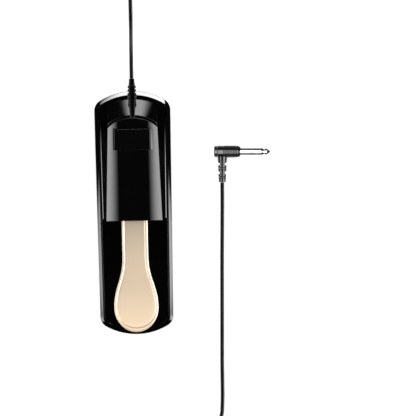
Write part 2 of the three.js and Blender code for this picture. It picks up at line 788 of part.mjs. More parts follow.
add('cord_inner', rodAlong(cordRadius, 0, bootHeight, leverTail + 2.2, bootStart - gap, 8), cordBlack);
add('cord_clamp', cordClamp(), nylon);
add('clamp_screw_left', clampScrew(clampScrews[0]), steel);
add('clamp_screw_right', clampScrew(clampScrews[1]), steel);
add('rear_boot', rearBoot(), rubberBlack);

add('cord_rear', tube(rearRoute, cordRadius, 10), cordBlack);
add('cord_hank', hank(), cordBlack);
add('hank_tie', hankTie(), rubberBlack);
add('cord_front', tube(frontRoute, cordRadius, 70), cordBlack);

const plug = new THREE.Group();
plug.position.copy(plugPlace);
plug.rotation.z = plugTurn;
pedal.add(plug);
plugPieces(plug);

export default pedal;
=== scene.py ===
"""A piano-style sustain pedal with its cord and right-angle phone plug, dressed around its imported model.

Lengths are metres in the model's own frame: +Z up, +Y towards the cord end, the floor at z = 0.
"""

import json
import math

import bmesh
import bpy
from mathutils import Matrix, Vector

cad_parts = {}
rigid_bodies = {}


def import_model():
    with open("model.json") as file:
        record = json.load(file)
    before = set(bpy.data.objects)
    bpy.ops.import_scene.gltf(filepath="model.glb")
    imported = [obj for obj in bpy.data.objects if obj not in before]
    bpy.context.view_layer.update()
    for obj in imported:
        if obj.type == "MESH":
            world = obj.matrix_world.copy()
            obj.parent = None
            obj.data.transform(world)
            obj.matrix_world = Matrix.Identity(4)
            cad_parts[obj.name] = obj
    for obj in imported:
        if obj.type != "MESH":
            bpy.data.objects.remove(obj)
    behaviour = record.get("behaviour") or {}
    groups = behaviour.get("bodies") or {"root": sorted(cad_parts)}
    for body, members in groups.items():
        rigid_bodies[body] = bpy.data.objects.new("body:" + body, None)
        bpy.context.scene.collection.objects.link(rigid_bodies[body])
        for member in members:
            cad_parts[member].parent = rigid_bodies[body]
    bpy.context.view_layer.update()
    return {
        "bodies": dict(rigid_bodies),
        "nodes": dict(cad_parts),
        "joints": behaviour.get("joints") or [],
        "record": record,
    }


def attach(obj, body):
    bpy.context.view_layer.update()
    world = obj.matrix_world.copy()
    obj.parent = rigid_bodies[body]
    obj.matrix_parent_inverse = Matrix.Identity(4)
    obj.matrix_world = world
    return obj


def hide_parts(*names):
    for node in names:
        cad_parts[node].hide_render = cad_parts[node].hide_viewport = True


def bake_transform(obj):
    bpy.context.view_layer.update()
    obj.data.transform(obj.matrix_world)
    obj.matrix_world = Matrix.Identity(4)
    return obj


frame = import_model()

scene = bpy.context.scene
MM = 0.001

# ---- Camera --------------------------------------------------------------------------------
# A long lens high above the pedal, looking straight down. The pedal stands left of the middle
# and leans a little anticlockwise, and the plug lies to its right.
camera_data = bpy.data.cameras.new("camera")
camera = bpy.data.objects.new("camera", camera_data)
scene.collection.objects.link(camera)
scene.camera = camera
VIEW_WIDTH = 0.416
VIEW_CENTRE = Vector((0.07339, 0.00371, 0.012))
CAMERA_DISTANCE = 3.0
CAMERA_LEAN = math.radians(-0.9)
CAMERA_TURN = math.radians(-1.2)
camera_data.sensor_width = 36
camera_data.lens = camera_data.sensor_width * CAMERA_DISTANCE / VIEW_WIDTH
camera_data.clip_end = 10 * CAMERA_DISTANCE
camera.rotation_euler = (0, CAMERA_LEAN, CAMERA_TURN)
back_off = Vector((math.sin(CAMERA_LEAN), 0, math.cos(CAMERA_LEAN))) * CAMERA_DISTANCE
camera.location = VIEW_CENTRE + Matrix.Rotation(CAMERA_TURN, 3, "Z") @ back_off

# ---- Cord ----------------------------------------------------------------------------------
# Two-core lead with a round black PVC jacket, 4 mm across. It falls from the boot to the floor,
# runs into a tied hank of three turns, and goes round the pedal to the plug.
CORD_RADIUS = 2.0 * MM
CORD_REST = 2.2  # height of its middle where it lies on the floor

# From the boot down to the floor behind the case
REAR_ROUTE = [(0, 133.3, 48.5), (0, 142, 47.6), (0, 152, 43.6), (0, 163, 35), (0, 174, 23.6),
              (0, 184, 13.6), (0, 194, 6.4), (0, 204, 3), (0, 212, 2.2), (0, 220.2, 2.2)]

# From the hank round the left and the front of the case to the plug
FRONT_ROUTE = [(-90, 243, 8.6), (-103, 242.2, 4.4), (-116, 238.5, 2.4),
               (-127, 230.5, 2.2), (-134.2, 217.5, 2.2), (-136.4, 201, 2.2), (-136.6, 170, 2.2),
               (-136.4, 130, 2.2), (-137.3, 80, 2.2), (-138.4, 20, 2.2), (-139.6, -40, 2.2),
               (-140.8, -100, 2.2), (-142, -150, 2.2), (-142.6, -185, 2.2), (-141.4, -200, 2.2),
               (-136, -212, 2.2), (-125, -219.5, 2.2), (-110, -221.6, 2.2), (-75, -221, 2.2),
               (-30, -221.4, 2.2), (20, -221, 2.2), (50, -221.6, 2.2), (66, -220.6, 2.2),
               (77, -214.6, 2.2), (82.6, -205, 2.2), (84, -192, 2.2), (84.6, -150, 2.2),
               (85.6, -100, 2.2), (86.6, -50, 2.2), (87.6, -10, 2.2), (88.1, 12, 4), (88.3, 29, 6)]
HANK_CENTRE = (-40, 231)
HANK_HALF_RUN = 28
HANK_FOLD = 12
HANK_WAIST = 2.1
HANK_TURNS = 3
HANK_STEPS = 40
TURN_RISE = 4.1


def hank_turns():
    """The hank's turns, from its right-hand end: long loops one above another, drawn in at the waist."""
    arc = math.pi * HANK_FOLD
    run = 2 * HANK_HALF_RUN
    whole = 2 * arc + 2 * run
    steps = round((HANK_TURNS + (arc / 2 + run) / whole) * HANK_STEPS)
    points = []
    for k in range(1, steps + 1):
        along = whole * k / HANK_STEPS
        s = along % whole
        if s < arc / 2 or s >= whole - arc / 2:
            turn = (s if s < arc / 2 else s - whole) / HANK_FOLD
            x, y = HANK_HALF_RUN + HANK_FOLD * math.cos(turn), HANK_FOLD * math.sin(turn)
        elif s < arc / 2 + run:
            x, y = HANK_HALF_RUN - (s - arc / 2), 1
        elif s < 1.5 * arc + run:
            turn = math.pi / 2 + (s - arc / 2 - run) / HANK_FOLD
            x, y = -HANK_HALF_RUN + HANK_FOLD * math.cos(turn), HANK_FOLD * math.sin(turn)
        else:
            x, y = -HANK_HALF_RUN + (s - 1.5 * arc - run), -1
        if abs(y) == 1:
            pinch = (1 + math.cos(math.pi * x / HANK_HALF_RUN)) / 2
            y *= HANK_FOLD - (HANK_FOLD - HANK_WAIST) * pinch
        z = CORD_REST + TURN_RISE * along / whole
        points.append((HANK_CENTRE[0] + x, HANK_CENTRE[1] + y, z))
    return points


def smooth_line(points, step):
    """Points about step apart on a centripetal Catmull-Rom curve through the given ones."""
    line = [Vector(p) for p in points]
    line = [2 * line[0] - line[1]] + line + [2 * line[-1] - line[-2]]
    out = []
    for a, b, c, d in zip(line, line[1:], line[2:], line[3:]):
        t1 = (b - a).length ** 0.5
        t2 = t1 + (c - b).length ** 0.5
        t3 = t2 + (d - c).length ** 0.5
        count = max(1, round((c - b).length / step))
        for k in range(count):
            t = t1 + (t2 - t1) * k / count
            ab = a * ((t1 - t) / t1) + b * (t / t1)
            bc = b * ((t2 - t) / (t2 - t1)) + c * ((t - t1) / (t2 - t1))
            cd = c * ((t3 - t) / (t3 - t2)) + d * ((t - t2) / (t3 - t2))
            abc = ab * ((t2 - t) / t2) + bc * (t / t2)
            bcd = bc * ((t3 - t) / (t3 - t1)) + cd * ((t - t1) / (t3 - t1))
            out.append(abc * ((t2 - t) / (t2 - t1)) + bcd * ((t - t1) / (t2 - t1)))
    out.append(line[-2])
    return out


def linear(colour):
    """An sRGB hex colour as the linear RGBA that the shader sockets take."""
    channels = [int(colour[k:k + 2], 16) / 255 for k in (1, 3, 5)]
    return (*((c / 12.92 if c <= 0.04045 else ((c + 0.055) / 1.055) ** 2.4) for c in channels), 1)


def add_node(tree, kind, settings=None, links=None):
    """A new node in the tree, with its inputs or properties set and its inputs linked."""
    node = tree.nodes.new(kind)
    for key, value in (settings or {}).items():
        if isinstance(key, str) and hasattr(node, key):
            setattr(node, key, value)
        else:
            node.inputs[key].default_value = value
    for key, socket in (links or {}).items():
        tree.links.new(socket, node.inputs[key])
    return node


def finish(name, colour, roughness, metallic=0.0):
    """A material whose shader holds the even values; returns it with its tree, shader and coordinates."""
    material = bpy.data.materials.new(name)
    material.use_nodes = True
    tree = material.node_tree
    shader = tree.nodes["Principled BSDF"]
    shader.inputs["Base Color"].default_value = linear(colour)
    shader.inputs["Roughness"].default_value = roughness
    shader.inputs["Metallic"].default_value = metallic
    coords = add_node(tree, "ShaderNodeTexCoord").outputs["Object"]
    return material, tree, shader, coords


MIDDLE_RANGE = (0.3, 0.7)  # where nearly all of a noise pattern's values lie


def vary_roughness(tree, shader, value, low, high):
    """Roughness that runs from low to high as the value goes over its middle range."""
    spread = add_node(tree, "ShaderNodeMapRange", {
        "From Min": MIDDLE_RANGE[0], "From Max": MIDDLE_RANGE[1], "To Min": low, "To Max": high},
        {"Value": value})
    tree.links.new(spread.outputs["Result"], shader.inputs["Roughness"])


def vary_colour(tree, shader, value, low, high):
    """Base colour that runs from one hex colour to another over the value's middle range."""
    ramp = add_node(tree, "ShaderNodeValToRGB", links={"Fac": value})
    for stop, place, colour in zip(ramp.color_ramp.elements, MIDDLE_RANGE, (low, high)):
        stop.position = place
        stop.color = linear(colour)
    tree.links.new(ramp.outputs["Color"], shader.inputs["Base Color"])


def relief(tree, shader, height, depth_mm):
    """Surface relief of depth_mm from a height that goes from 0 to 1."""
    bump = add_node(tree, "ShaderNodeBump", {"Distance": depth_mm * MM, "Strength": 1}, {"Height": height})
    tree.links.new(bump.outputs["Normal"], shader.inputs["Normal"])


def extruded_pvc():
    """Soft PVC jacket, extruded: black with a low waxy shine, 6 mm smears from the die and a fine skin."""
    material, tree, shader, coords = finish("cord_jacket_pvc", "#0D0D0E", 0.34)
    smears = add_node(tree, "ShaderNodeTexNoise", {"Scale": 1000 / 6, "Detail": 3}, {"Vector": coords})
    vary_roughness(tree, shader, smears.outputs["Fac"], 0.26, 0.42)
    skin = add_node(tree, "ShaderNodeTexNoise", {"Scale": 1000 / 0.9}, {"Vector": coords})
    relief(tree, shader, skin.outputs["Fac"], 0.03)
    return material


CORD_STEP = 2.5
cord_line = [p * MM for p in smooth_line(REAR_ROUTE + hank_turns() + FRONT_ROUTE, CORD_STEP)]
cord_data = bpy.data.curves.new("cord", "CURVE")
cord_data.dimensions = "3D"
spline = cord_data.splines.new("POLY")
spline.points.add(len(cord_line) - 1)
for point, place in zip(spline.points, cord_line):
    point.co = (*place, 1)
cord_data.bevel_depth = CORD_RADIUS
cord_data.bevel_resolution = 4
cord_data.use_fill_caps = True
jacket = extruded_pvc()
cord_data.materials.append(jacket)
cord = bpy.data.objects.new("cord", cord_data)
scene.collection.objects.link(cord)
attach(cord, "housing")
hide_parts("cord_rear", "cord_hank", "cord_front")


# ---- Hank strap ----------------------------------------------------------------------------
# Hook-and-loop strap of black nylon, 8 mm wide, pulled round the waist of the hank with its free
# end pressed down over the start.
SMOOTH_ANGLE = math.radians(32)


def welded(name, vertices, faces):
    """A mesh from vertices in metres, with its doubles merged and its faces turned outwards."""
    mesh = bpy.data.meshes.new(name)
    mesh.from_pydata([tuple(v) for v in vertices], [], faces)
    work = bmesh.new()
    work.from_mesh(mesh)
    bmesh.ops.remove_doubles(work, verts=work.verts, dist=0.002 * MM)
    bmesh.ops.recalc_face_normals(work, faces=work.faces)
    work.to_mesh(mesh)
    work.free()
    return mesh


def make_piece(name, vertices, faces, material, body, nodes, slot):
    """A mesh piece that rides a body and stands for CAD nodes; edges over 32 degrees stay crisp."""
    mesh = welded(name, vertices, faces)
    mesh.materials.append(material)
    return settle(name, mesh, body, nodes)


def settle(name, mesh, body, nodes):
    """Puts a finished mesh in the scene on its body."""
    for face in mesh.polygons:
        face.use_smooth = True
    mesh.set_sharp_from_angle(angle=SMOOTH_ANGLE)
    piece = bpy.data.objects.new(name, mesh)
    scene.collection.objects.link(piece)
    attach(piece, body)
    if nodes:
        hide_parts(*nodes)
    return piece


def strips(rows, ring=False, turn=False):
    """Vertices and quads between rows of equal length; ring closes each row on itself."""
    width = len(rows[0])
    vertices = [p for row in rows for p in row]
    faces = []
    for j in range(len(rows) - 1):
        for k in range(width if ring else width - 1):
            a, b = j * width + k, j * width + (k + 1) % width
            quad = (a, b, b + width, a + width)
            faces.append(quad[::-1] if turn else quad)
    return vertices, faces


def woven_nylon():
    """Hook-and-loop tape: a matt black weave of 0.5 mm loops."""
    material, tree, shader, coords = finish("strap_woven_nylon", "#121213", 0.85)
    weave = add_node(tree, "ShaderNodeTexVoronoi", {"Scale": 1000 / 0.5}, {"Vector": coords})
    vary_colour(tree, shader, weave.outputs["Distance"], "#1C1C1D", "#0A0A0A")
    relief(tree, shader, weave.outputs["Distance"], 0.25)
    return material


STRAP_HALF_WIDTH = 4
STRAP_THICKNESS = 0.9
STRAP_SIDES = 48
STRAP_SQUARENESS = 6
# The strap's inner side clears the waist and the top turn by the cord's own radius and a little more.
strap_half_depth = HANK_WAIST + 2.9
strap_low = 0.1 + STRAP_THICKNESS
strap_high = CORD_REST + TURN_RISE * (HANK_TURNS + 0.6) + 2.3
strap_rows = []
for offset in (0, STRAP_THICKNESS):
    for side in (-1, 1):
        row = []
        for k in range(STRAP_SIDES):
            turn = 2 * math.pi * k / STRAP_SIDES
            c, s = math.cos(turn), math.sin(turn)
            square = (abs(c) ** STRAP_SQUARENESS + abs(s) ** STRAP_SQUARENESS) ** (-1 / STRAP_SQUARENESS)
            y = (strap_half_depth + offset) * c * square
            z = (strap_low + strap_high) / 2 + ((strap_high - strap_low) / 2 + offset) * s * square
            x = side * STRAP_HALF_WIDTH
            row.append(Vector((HANK_CENTRE[0] + x, HANK_CENTRE[1] + y, z)) * MM)
        strap_rows.append(row)
strap_rows = [strap_rows[0], strap_rows[1], strap_rows[3], strap_rows[2], strap_rows[0]]
make_piece("hank_strap", *strips(strap_rows, ring=True, turn=True), woven_nylon(), "housing", ["hank_tie"],
           "tie")


# ---- Plug ----------------------------------------------------------------------------------
# Right-angle 6.35 mm phone plug: a moulded ABS barrel with a knurled grip, a push-in end cap, and
# a nickel-plated brass shaft with an insulating ring before its point. Made lying along +X.
PLUG_PLACE = Vector((89, 60, 6))
PLUG_TURN = math.radians(-1.2)
PLUG_SIDES = 64
PLUG_RADIUS = 5.85
SHAFT_RADIUS = 3.175
plug_frame = Matrix.Translation(PLUG_PLACE * MM) @ Matrix.Rotation(PLUG_TURN, 4, "Z")


def turned(profile, axis, segments, frame=Matrix.Identity(4)):
    """A closed turned shape in metres, from (radius, distance) points in millimetres that end on the axis."""
    along = Vector(axis)
    across = Vector((0, 0, 1)) if abs(along.z) < 0.5 else Vector((1, 0, 0))
    third = along.cross(across)
    rows = []
    for radius, distance in profile:
        row = []
        for k in range(segments):
            turn = 2 * math.pi * k / segments
            p = along * distance + (across * math.cos(turn) + third * math.sin(turn)) * radius
            row.append(frame @ (p * MM))
        rows.append(row)
    return strips(rows, ring=True, turn=True)


def rounded(profile, radius, steps=4):
    """The profile with each inner corner replaced by a short arc of up to that radius."""
    points = [Vector(p) for p in profile]
    out = [points[0]]
    for before, corner, after in zip(points, points[1:], points[2:]):
        back, on = before - corner, after - corner
        if back.length < 1e-6 or on.length < 1e-6:
            continue
        reach = min(radius, 0.45 * back.length, 0.45 * on.length)
        start, end = corner + back.normalized() * reach, corner + on.normalized() * reach
        for k in range(steps + 1):
            t = k / steps
            out.append(start.lerp(corner, t).lerp(corner.lerp(end, t), t))
    out.append(points[-1])
    return [tuple(p) for p in out]


def moulded_abs():
    """Plug body: black ABS from a mould with a 0.6 mm spark grain, satin with a soft sheen."""
    material, tree, shader, coords = finish("plug_moulded_abs", "#060606", 0.22)
    handled = add_node(tree, "ShaderNodeTexNoise", {"Scale": 1000 / 5, "Detail": 3}, {"Vector": coords})
    vary_roughness(tree, shader, handled.outputs["Fac"], 0.16, 0.28)
    spark = add_node(tree, "ShaderNodeTexNoise", {"Scale": 1000 / 0.6}, {"Vector": coords})
    relief(tree, shader, spark.outputs["Fac"], 0.008)
    return material


def nickel_plate():
    """Turned brass under bright nickel: a mirror shine with hair-fine turning lines round it."""
    material, tree, shader, coords = finish("shaft_nickel_plate", "#DEDCD8", 0.09, 1.0)
    handled = add_node(tree, "ShaderNodeTexNoise", {"Scale": 1000 / 4, "Detail": 3}, {"Vector": coords})
    vary_roughness(tree, shader, handled.outputs["Fac"], 0.06, 0.14)
    lines = add_node(tree, "ShaderNodeTexWave", {"Scale": 900, "bands_direction": "X"}, {"Vector": coords})
    relief(tree, shader, lines.outputs["Fac"], 0.0004)
    return material


KNURL_START, KNURL_END = 1.2, 14.0
KNURL_PITCH = 1.6
KNURL_HEIGHT = 0.34
KNURL_BED = PLUG_RADIUS - 0.35
BARREL_PROFILE = [(0, -5), (PLUG_RADIUS - 0.3, -5), (PLUG_RADIUS, -4.6), (PLUG_RADIUS, KNURL_START - 0.5),
                  (KNURL_BED, KNURL_START - 0.1), (KNURL_BED, KNURL_END + 0.1),
                  (PLUG_RADIUS, KNURL_END + 0.5), (PLUG_RADIUS, 15.4), (PLUG_RADIUS - 0.8, 17.3),
                  (SHAFT_RADIUS + 0.7, 17.9), (0, 17.9)]


def open_tree(name, sizes, counts=()):
    """A geometry tree whose named inputs are a mesh, sizes, counts and a material; returns it with them."""
    tree = bpy.data.node_groups.new(name, "GeometryNodeTree")
    kinds = [("Geometry", "Geometry")] + [(label, "Float") for label in sizes]
    kinds += [(label, "Int") for label in counts] + [("Material", "Material")]
    for label, kind in kinds:
        tree.interface.new_socket(label, in_out="INPUT", socket_type="NodeSocket" + kind)
    tree.interface.new_socket("Geometry", in_out="OUTPUT", socket_type="NodeSocketGeometry")
    return tree, add_node(tree, "NodeGroupInput").outputs


def close_tree(tree, given, made):
    """Ends a tree: its instances made real, joined to the mesh that came in, and all in one material."""
    real = add_node(tree, "GeometryNodeRealizeInstances", links={"Geometry": made})
    both = add_node(tree, "GeometryNodeJoinGeometry", links={0: real.outputs[0]})
    tree.links.new(given["Geometry"], both.inputs[0])
    dressed = add_node(tree, "GeometryNodeSetMaterial",
                       links={"Geometry": both.outputs[0], "Material": given["Material"]})
    add_node(tree, "NodeGroupOutput", links={"Geometry": dressed.outputs[0]})
    return tree


def knurl_tree():
    """Adds rows of small flat-topped pyramids round a barrel whose axis is local X."""
    tree, given = open_tree("knurl", ("Radius", "Length", "Start", "Pitch", "Height"), ("Around", "Along"))
    both_sets = add_node(tree, "GeometryNodeJoinGeometry")
    crown = add_node(tree, "ShaderNodeMath", {"operation": "MULTIPLY", 1: 0.6}, {0: given["Pitch"]})
    stud = add_node(tree, "GeometryNodeMeshCone", {"Vertices": 4}, {
        "Radius Bottom": given["Pitch"], "Radius Top": crown.outputs[0], "Depth": given["Height"]})
    half_pitch = add_node(tree, "ShaderNodeMath", {"operation": "MULTIPLY", 1: 0.5}, {0: given["Pitch"]})
    half_length = add_node(tree, "ShaderNodeMath", {"operation": "MULTIPLY", 1: 0.5}, {0: given["Length"]})
    half_step = add_node(tree, "ShaderNodeMath", {"operation": "DIVIDE", 0: math.pi}, {1: given["Around"]})
    for shifted in (False, True):
        tube = add_node(tree, "GeometryNodeMeshCylinder", {"fill_type": "NONE"},
                        {"Vertices": given["Around"], "Side Segments": given["Along"],
                         "Radius": given["Radius"], "Depth": given["Length"]})
        middle = add_node(tree, "ShaderNodeMath", {"operation": "ADD"},
                          {0: given["Start"], 1: half_length.outputs[0]})
        place = add_node(tree, "ShaderNodeCombineXYZ")
        turn = add_node(tree, "ShaderNodeCombineXYZ")
        if shifted:
            later = add_node(tree, "ShaderNodeMath", {"operation": "ADD"},
                             {0: middle.outputs[0], 1: half_pitch.outputs[0]})
            tree.links.new(later.outputs[0], place.inputs["Z"])
            tree.links.new(half_step.outputs[0], turn.inputs["Z"])
        else:
            tree.links.new(middle.outputs[0], place.inputs["Z"])
        moved = add_node(tree, "GeometryNodeTransform", links={
            "Geometry": tube.outputs["Mesh"], "Translation": place.outputs[0], "Rotation": turn.outputs[0]})
        normal = add_node(tree, "GeometryNodeInputNormal")
        facing = add_node(tree, "FunctionNodeAxesToRotation", {"Secondary Axis": (0, 0, 1)},
                          {"Primary Axis": normal.outputs[0]})
        studs = add_node(tree, "GeometryNodeInstanceOnPoints", links={
            "Points": moved.outputs[0], "Instance": stud.outputs["Mesh"], "Rotation": facing.outputs[0]})
        tree.links.new(studs.outputs["Instances"], both_sets.inputs[0])
    laid = add_node(tree, "GeometryNodeTransform", {"Rotation": (0, math.pi / 2, 0)},
                    {"Geometry": both_sets.outputs[0]})
    return close_tree(tree, given, laid.outputs[0])


def grown(mesh, tree, values):
    """The mesh that a Geometry Nodes tree makes from another, with its inputs set by name."""
    carrier = bpy.data.objects.new("carrier", mesh)
    scene.collection.objects.link(carrier)
    modifier = carrier.modifiers.new("grow", "NODES")
    modifier.node_group = tree
    for item in tree.interface.items_tree:
        if item.in_out == "INPUT" and item.name in values:
            modifier[item.identifier] = values[item.name]
    result = bpy.data.meshes.new_from_object(carrier.evaluated_get(bpy.context.evaluated_depsgraph_get()))
    bpy.data.objects.remove(carrier)
    return result


plug_black = moulded_abs()
plug_metal = nickel_plate()
barrel_mesh = welded("barrel_blank", *turned(rounded(BARREL_PROFILE, 0.5), (1, 0, 0), PLUG_SIDES))
knurl_count = round(2 * math.pi * PLUG_RADIUS / KNURL_PITCH)
knurl_rows = round((KNURL_END - KNURL_START) / KNURL_PITCH) - 1
barrel_mesh = grown(barrel_mesh, knurl_tree(), {
    "Radius": (KNURL_BED + 0.02) * MM, "Start": (KNURL_START + KNURL_PITCH / 2) * MM, "Around": knurl_count,
    "Length": knurl_rows * KNURL_PITCH * MM, "Along": knurl_rows, "Pitch": 0.52 * KNURL_PITCH * MM,
    "Height": KNURL_HEIGHT * MM, "Material": plug_black})
barrel_mesh.transform(plug_frame)
settle("plug_body", barrel_mesh, "housing", ["plug_barrel"])

CAP_PROFILE = [(0, -8.3), (4.2, -8.3), (4.5, -8.0), (4.8, -8.3), (PLUG_RADIUS - 0.3, -7.7),
               (PLUG_RADIUS - 0.3, -5.2), (0, -5.2)]
SHAFT_PROFILE = [(0, 17.7), (SHAFT_RADIUS + 0.5, 17.7), (SHAFT_RADIUS + 0.5, 18.4),
                 (SHAFT_RADIUS, 18.8), (SHAFT_RADIUS, 39), (0, 39)]
RING_PROFILE = [(0, 39.05), (SHAFT_RADIUS, 39.05), (SHAFT_RADIUS - 0.1, 40.4), (0, 40.4)]
POINT_PROFILE = [(0, 40.45), (2.9, 40.45), (2.75, 41.0), (1.95, 41.9), (2.0, 42.3), (2.9, 43.1), (3.17, 43.8),
                 (2.95, 44.5), (2.2, 45.5), (0.9, 47.5), (0.45, 47.9), (0, 48)]
for name, profile, material, node, slot in (
        ("plug_end_cap", rounded(CAP_PROFILE, 0.25), plug_black, "plug_cap", "plug_abs"),
        ("plug_shaft", rounded(SHAFT_PROFILE, 0.2), plug_metal, "plug_sleeve", "plug_nickel"),
        ("plug_ring", rounded(RING_PROFILE, 0.1), plug_black, "plug_insulator", "plug_abs"),
        ("plug_point", rounded(POINT_PROFILE, 0.3), plug_metal, "plug_tip", "plug_nickel")):
    make_piece(name, *turned(profile, (1, 0, 0), PLUG_SIDES, plug_frame), material, "housing", [node], slot)


# ---- Plug strain relief --------------------------------------------------------------------
# Soft PVC sleeve moulded on the cord below the plug. Notches cut by turns from the sides and from
# front and back give it the look of a chain of links; it is drawn straight.
RELIEF_START, RELIEF_END = 5.2, 30.6
RELIEF_RADIUS, RELIEF_TAPER = 4.7, 1.2
RELIEF_ROUND = 0.5
RELIEF_STEPS, RELIEF_SIDES = 200, 72
NOTCH_CORE = 2.35
# (middle, half width) of each notch along the sleeve
SIDE_NOTCHES = ((12.6, 1.5), (21.3, 1.5))
FRONT_NOTCHES = ((16.9, 1.1), (25.8, 1.1))


def moulded_pvc():
    """Strain reliefs: soft black PVC, satin, with the faint 0.8 mm grain of its mould."""
    material, tree, shader, coords = finish("strain_relief_pvc", "#080808", 0.3)
    handled = add_node(tree, "ShaderNodeTexNoise", {"Scale": 1000 / 3, "Detail": 3}, {"Vector": coords})
    vary_roughness(tree, shader, handled.outputs["Fac"], 0.24, 0.38)
    grain = add_node(tree, "ShaderNodeTexNoise", {"Scale": 1000 / 0.8}, {"Vector": coords})
    relief(tree, shader, grain.outputs["Fac"], 0.02)
    return material


def relief_radius(along, turn):
    """Radius of the notched sleeve at a distance along it and an angle from the sideways axis."""
    full = RELIEF_RADIUS - RELIEF_TAPER * (along - RELIEF_START) / (RELIEF_END - RELIEF_START)
    depth = 0.0
    for notches, facing in ((SIDE_NOTCHES, abs(math.cos(turn))), (FRONT_NOTCHES, abs(math.sin(turn)))):
        for middle, half in notches:
            open_here = max(0.0, 1 - abs(along - middle) / half)
            depth = max(depth, min(1, 2.2 * open_here) * min(1, max(0, facing - 0.42) / 0.08))
    return full - (full - NOTCH_CORE) * depth


relief_pvc = moulded_pvc()
relief_rows = []
for j in range(RELIEF_STEPS + 1):
    along = RELIEF_START + (RELIEF_END - RELIEF_START) * j / RELIEF_STEPS
    edge = min(1.0, (RELIEF_END - along) / RELIEF_ROUND)
    row = []
    for k in range(RELIEF_SIDES):
        turn = 2 * math.pi * k / RELIEF_SIDES
        radius = relief_radius(along, turn) - RELIEF_ROUND * (1 - math.sqrt(1 - (1 - edge) ** 2))
        row.append(plug_frame @ (Vector((radius * math.cos(turn), -along, radius * math.sin(turn))) * MM))
    relief_rows.append(row)
start_centre, end_centre = (plug_frame @ (Vector((0, -at, 0)) * MM) for at in (RELIEF_START, RELIEF_END))
relief_rows = [[start_centre] * RELIEF_SIDES] + relief_rows + [[end_centre] * RELIEF_SIDES]
make_piece("plug_strain_relief", *strips(relief_rows, ring=True), relief_pvc, "housing", ["plug_boot"],
           "boot_pvc")


# ---- Rear strain relief --------------------------------------------------------------------
# The same soft PVC where the cord leaves the hood: a stem that thickens over the ramp, four
# round ribs and a short taper.
BOOT_HEIGHT = 48.5
BOOT_RIBS, BOOT_RIB_START, BOOT_RIB_PITCH = 4, 113, 3.6
BOOT_NECK = 3.3
boot_profile = [(0, 89), (4, 89), (4, 91.3), (2.4, 91.3), (2.4, 95), (3.4, 112.2)]
for k in range(BOOT_RIBS):
    start = BOOT_RIB_START + BOOT_RIB_PITCH * k
    crest = 4.7 - 0.15 * k
    boot_profile += [(BOOT_NECK, start - 0.4), (crest - 0.35, start), (crest, start + 0.6),
                     (crest, start + 1.6), (crest - 0.35, start + 2.2), (BOOT_NECK, start + 2.6)]
boot_profile += [(2.95, 129), (2.75, 132.6), (2.5, 133), (0, 133)]
boot_frame = Matrix.Translation(Vector((0, 0, BOOT_HEIGHT)) * MM)
make_piece("rear_strain_relief", *turned(rounded(boot_profile, 0.45), (0, 1, 0), 48, boot_frame), relief_pvc,
           "housing", ["rear_boot"], "boot_pvc")


# ---- Housing outline and main case ---------------------------------------------------------
# The case is one gloss-black ABS moulding: upright walls under a 4.5 mm rim that is high at the
# cord end and sweeps down to a shallow open tray at the front.
CASE_HALF_LENGTH = 121
CASE_HALF_WIDTHS = {1: 37.75, -1: 36.5}  # at the cord end and at the front
CORNER_RADIUS, CORNER_STEPS = 11.5, 14
END_RADIUS, END_STEPS = 62, 40
SIDE_STEPS = 60
BOW_CENTRE = CASE_HALF_LENGTH - END_RADIUS
RIM_WIDTH = 4.5
RIM_FRONT, RIM_RISE, RIM_RISE_LENGTH = 10.5, 31.5, 211
CASE_LOW, CASE_FLOOR, CASE_UNDER = 2.7, 8.0, 5.5
CASE_WALL = 2.4
# Low and high corner of the two posts on the floor: under the lever's tail and under its bend
CASE_POSTS = (((-8, 69, 7.9), (8, 76, 35.2)), ((-8, -4, 7.9), (8, 4, 29)))


def corner_at(half_width):
    """Centre of a corner's arc at an end that wide, and the angle at which the end's arc takes over."""
    x = half_width - CORNER_RADIUS
    y = BOW_CENTRE + math.sqrt((END_RADIUS - CORNER_RADIUS) ** 2 - x ** 2)
    return x, y, math.atan2(y - BOW_CENTRE, x)


def case_outline():
    """Points (x, y) with outward normals round the housing, anticlockwise from the rear right."""
    points = []
    for end, half_width in CASE_HALF_WIDTHS.items():
        corner_x, corner_y, lean = corner_at(half_width)
        start = 0 if end == 1 else math.pi
        half_turn = start + math.pi
        arcs = ((end * corner_x, end * corner_y, CORNER_RADIUS, start, start + lean, CORNER_STEPS),
                (0, end * BOW_CENTRE, END_RADIUS, start + lean, half_turn - lean, END_STEPS),
                (-end * corner_x, end * corner_y, CORNER_RADIUS, half_turn - lean, half_turn, CORNER_STEPS))
        for x, y, radius, first, last, steps in arcs:
            for k in range(steps):
                turn = first + (last - first) * k / steps
                c, s = math.cos(turn), math.sin(turn)
                points.append((x + radius * c, y + radius * s, c, s))
        points.append((-end * half_width, end * corner_y, math.cos(half_turn), math.sin(half_turn)))
        other = CASE_HALF_WIDTHS[-end]
        other_y = corner_at(other)[1]
        for k in range(1, SIDE_STEPS):
            t = k / SIDE_STEPS
            x = -end * (half_width + (other - half_width) * t)
            y = end * (corner_y - (corner_y + other_y) * t)
            points.append((x, y, -end, 0))
    return points


def ease(t):
    """A smooth step from 0 to 1."""
    t = min(1, max(0, t))
    return t * t * (3 - 2 * t)


def rim_height(y):
    """Top of the rim: low at the front, rising to the cord end."""
    return RIM_FRONT + RIM_RISE * ease((y + CASE_HALF_LENGTH) / RIM_RISE_LENGTH)


